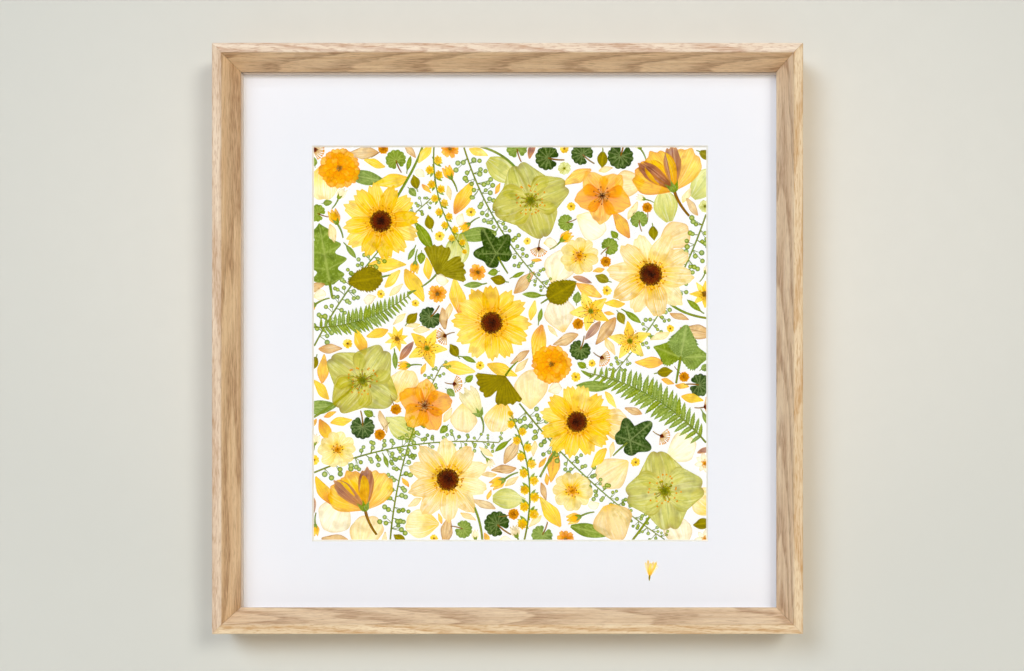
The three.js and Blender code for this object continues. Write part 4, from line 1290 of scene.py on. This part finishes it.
# The spacers are near-white card; their warm beige tone is painted reflection of the oak's warm light.
dress(paper("spacer_card", (237, 222, 208), (227, 212, 198), (231, 218, 205)), *SPACERS)
dress(paper("white_board", (255, 255, 255), (252, 252, 252), (236, 234, 228)), "flower_board")
dress(hardboard(), "backing")
dress(glass(), "glass")
TABS = ["tab_%s_%d" % (side, i) for side in ("top", "left", "bottom", "right") for i in (1, 2)]
dress(steel(), "hanger", "hanger_screw_left", "hanger_screw_right", *TABS)
dress(rubber(), "bumper_left", "bumper_right")

# Light reaches the flowers straight through the pane
nodes["glass"].visible_shadow = False
nodes["glass"].visible_diffuse = False


# Stage: a pale wall that is seen from its front only, a pale floor below, soft lamps and the camera


def stage_plane(name, corners, material):
    mesh = bpy.data.meshes.new(name)
    mesh.from_pydata(corners, [], [(0, 1, 2, 3)])
    mesh.materials.append(material)
    plane = bpy.data.objects.new(name, mesh)
    bpy.context.scene.collection.objects.link(plane)


# The middle of the painted pool of light on the wall, and how much faster the painted shade grows up and down
# than sideways
WALL_PAINTED_LIGHT_MIDDLE = (0.04, 0.0, CENTRE_Z + 0.12)
WALL_PAINTED_SHADE_STRETCH = (1.0, 1.0, 1.5)
# Where the painted shade on the wall begins and where it is darkest, in metres from its lightest place
WALL_PAINTED_SHADE_REACH = (0.25, 0.62)


def wall_paint():
    graph = Graph("wall_paint", roughness=0.9, specular=0.1)
    grain = graph.noise(graph.place(), 40.0, 4.0, 0.6)
    near = graph.mix(grain, srgb(224, 222, 214), srgb(219, 217, 209))
    away = graph.vector("SUBTRACT", graph.place(), WALL_PAINTED_LIGHT_MIDDLE)
    stretched = graph.vector("MULTIPLY", away, WALL_PAINTED_SHADE_STRETCH)
    reach = graph.node("VectorMath", {0: stretched}, operation="LENGTH").outputs["Value"]
    # The paint darkens away from there: painted shade for the lamps' fall-off and the frame's shadow further
    # below it.
    graph.colour(graph.mix(graph.remap(reach, *WALL_PAINTED_SHADE_REACH), near, srgb(211, 211, 204)))
    # From behind, and for the lamps, the wall isn't there
    behind = graph.node("NewGeometry").outputs["Backfacing"]
    unseen = graph.math("MAXIMUM", behind, graph.node("LightPath").outputs["Is Shadow Ray"])
    clear = graph.node("BsdfTransparent").outputs[0]
    choose = graph.node("MixShader", {0: unseen, 1: graph.shader.outputs[0], 2: clear})
    graph.feed(graph.tree.nodes["Material Output"].inputs["Surface"], choose.outputs[0])
    return graph.material


def floor_paint():
    graph = Graph("floor_paint", roughness=0.85, specular=0.2)
    grain = graph.noise(graph.place(), 12.0, 4.0, 0.6)
    graph.colour(graph.mix(grain, srgb(226, 224, 218), srgb(218, 216, 210)))
    return graph.material


WALL_Y = 0.001
FLOOR_Z = CENTRE_Z - 1.3
SPAN = 3.0
wall = [(-SPAN, WALL_Y, FLOOR_Z), (SPAN, WALL_Y, FLOOR_Z), (SPAN, WALL_Y, SPAN), (-SPAN, WALL_Y, SPAN)]
floor = [(-SPAN, -SPAN, FLOOR_Z), (SPAN, -SPAN, FLOOR_Z), (SPAN, SPAN, FLOOR_Z), (-SPAN, SPAN, FLOOR_Z)]
stage_plane("wall", wall, wall_paint())
stage_plane("floor", floor, floor_paint())


def lamp(name, place, size, power, colour, mirrored=False):
    """A round soft lamp that is aimed at the frame. The pane doesn't mirror those in front of it."""
    data = bpy.data.lights.new(name, "AREA")
    data.shape = "DISK"
    data.size = size
    data.energy = power
    data.color = colour
    made = bpy.data.objects.new(name, data)
    made.location = place
    aim = Vector((0.0, FRONT_Y, CENTRE_Z)) - Vector(place)
    made.rotation_euler = aim.to_track_quat("-Z", "Y").to_euler()
    made.visible_glossy = mirrored
    made.visible_transmission = False
    bpy.context.scene.collection.objects.link(made)


lamp("left", (-3.7, -7.0, CENTRE_Z + 3.6), 4.2, 400.0, (0.7, 0.84, 1.0))
lamp("right", (3.8, -7.0, CENTRE_Z + 2.8), 2.8, 262.0, (1.0, 1.0, 0.95))
lamp("front", (0.0, -8.4, CENTRE_Z + 0.6), 3.2, 154.0, (1.0, 0.75, 0.52))
lamp("back", (0.5, 2.4, CENTRE_Z + 0.7), 2.8, 60.0, (1.0, 1.0, 1.0), mirrored=True)

SKY = (1.0, 0.915, 0.8, 1.0)
SKY_STRENGTH = 0.1
scene = bpy.context.scene
world = bpy.data.worlds.new("studio")
world.use_nodes = True
background = world.node_tree.nodes["Background"]
background.inputs["Color"].default_value = SKY
background.inputs["Strength"].default_value = SKY_STRENGTH
scene.world = world
scene.view_settings.view_transform = "Standard"

# The camera looks straight at the wall, a little right of and below the frame's middle
CAMERA_ASIDE = 0.0485
CAMERA_AWAY = 1.2
CAMERA_BELOW = 0.056
SENSOR = 36.0
LENS = 49.9
LENS_SHIFT = (-0.0516, 0.0675)
camera = bpy.data.objects.new("camera", bpy.data.cameras.new("camera"))
camera.location = (CAMERA_ASIDE, FRONT_Y - CAMERA_AWAY, CENTRE_Z - CAMERA_BELOW)
camera.rotation_euler = (math.pi / 2, 0, 0)
camera.data.sensor_width = SENSOR
camera.data.lens = LENS
camera.data.shift_x, camera.data.shift_y = LENS_SHIFT
scene.collection.objects.link(camera)
scene.camera = camera
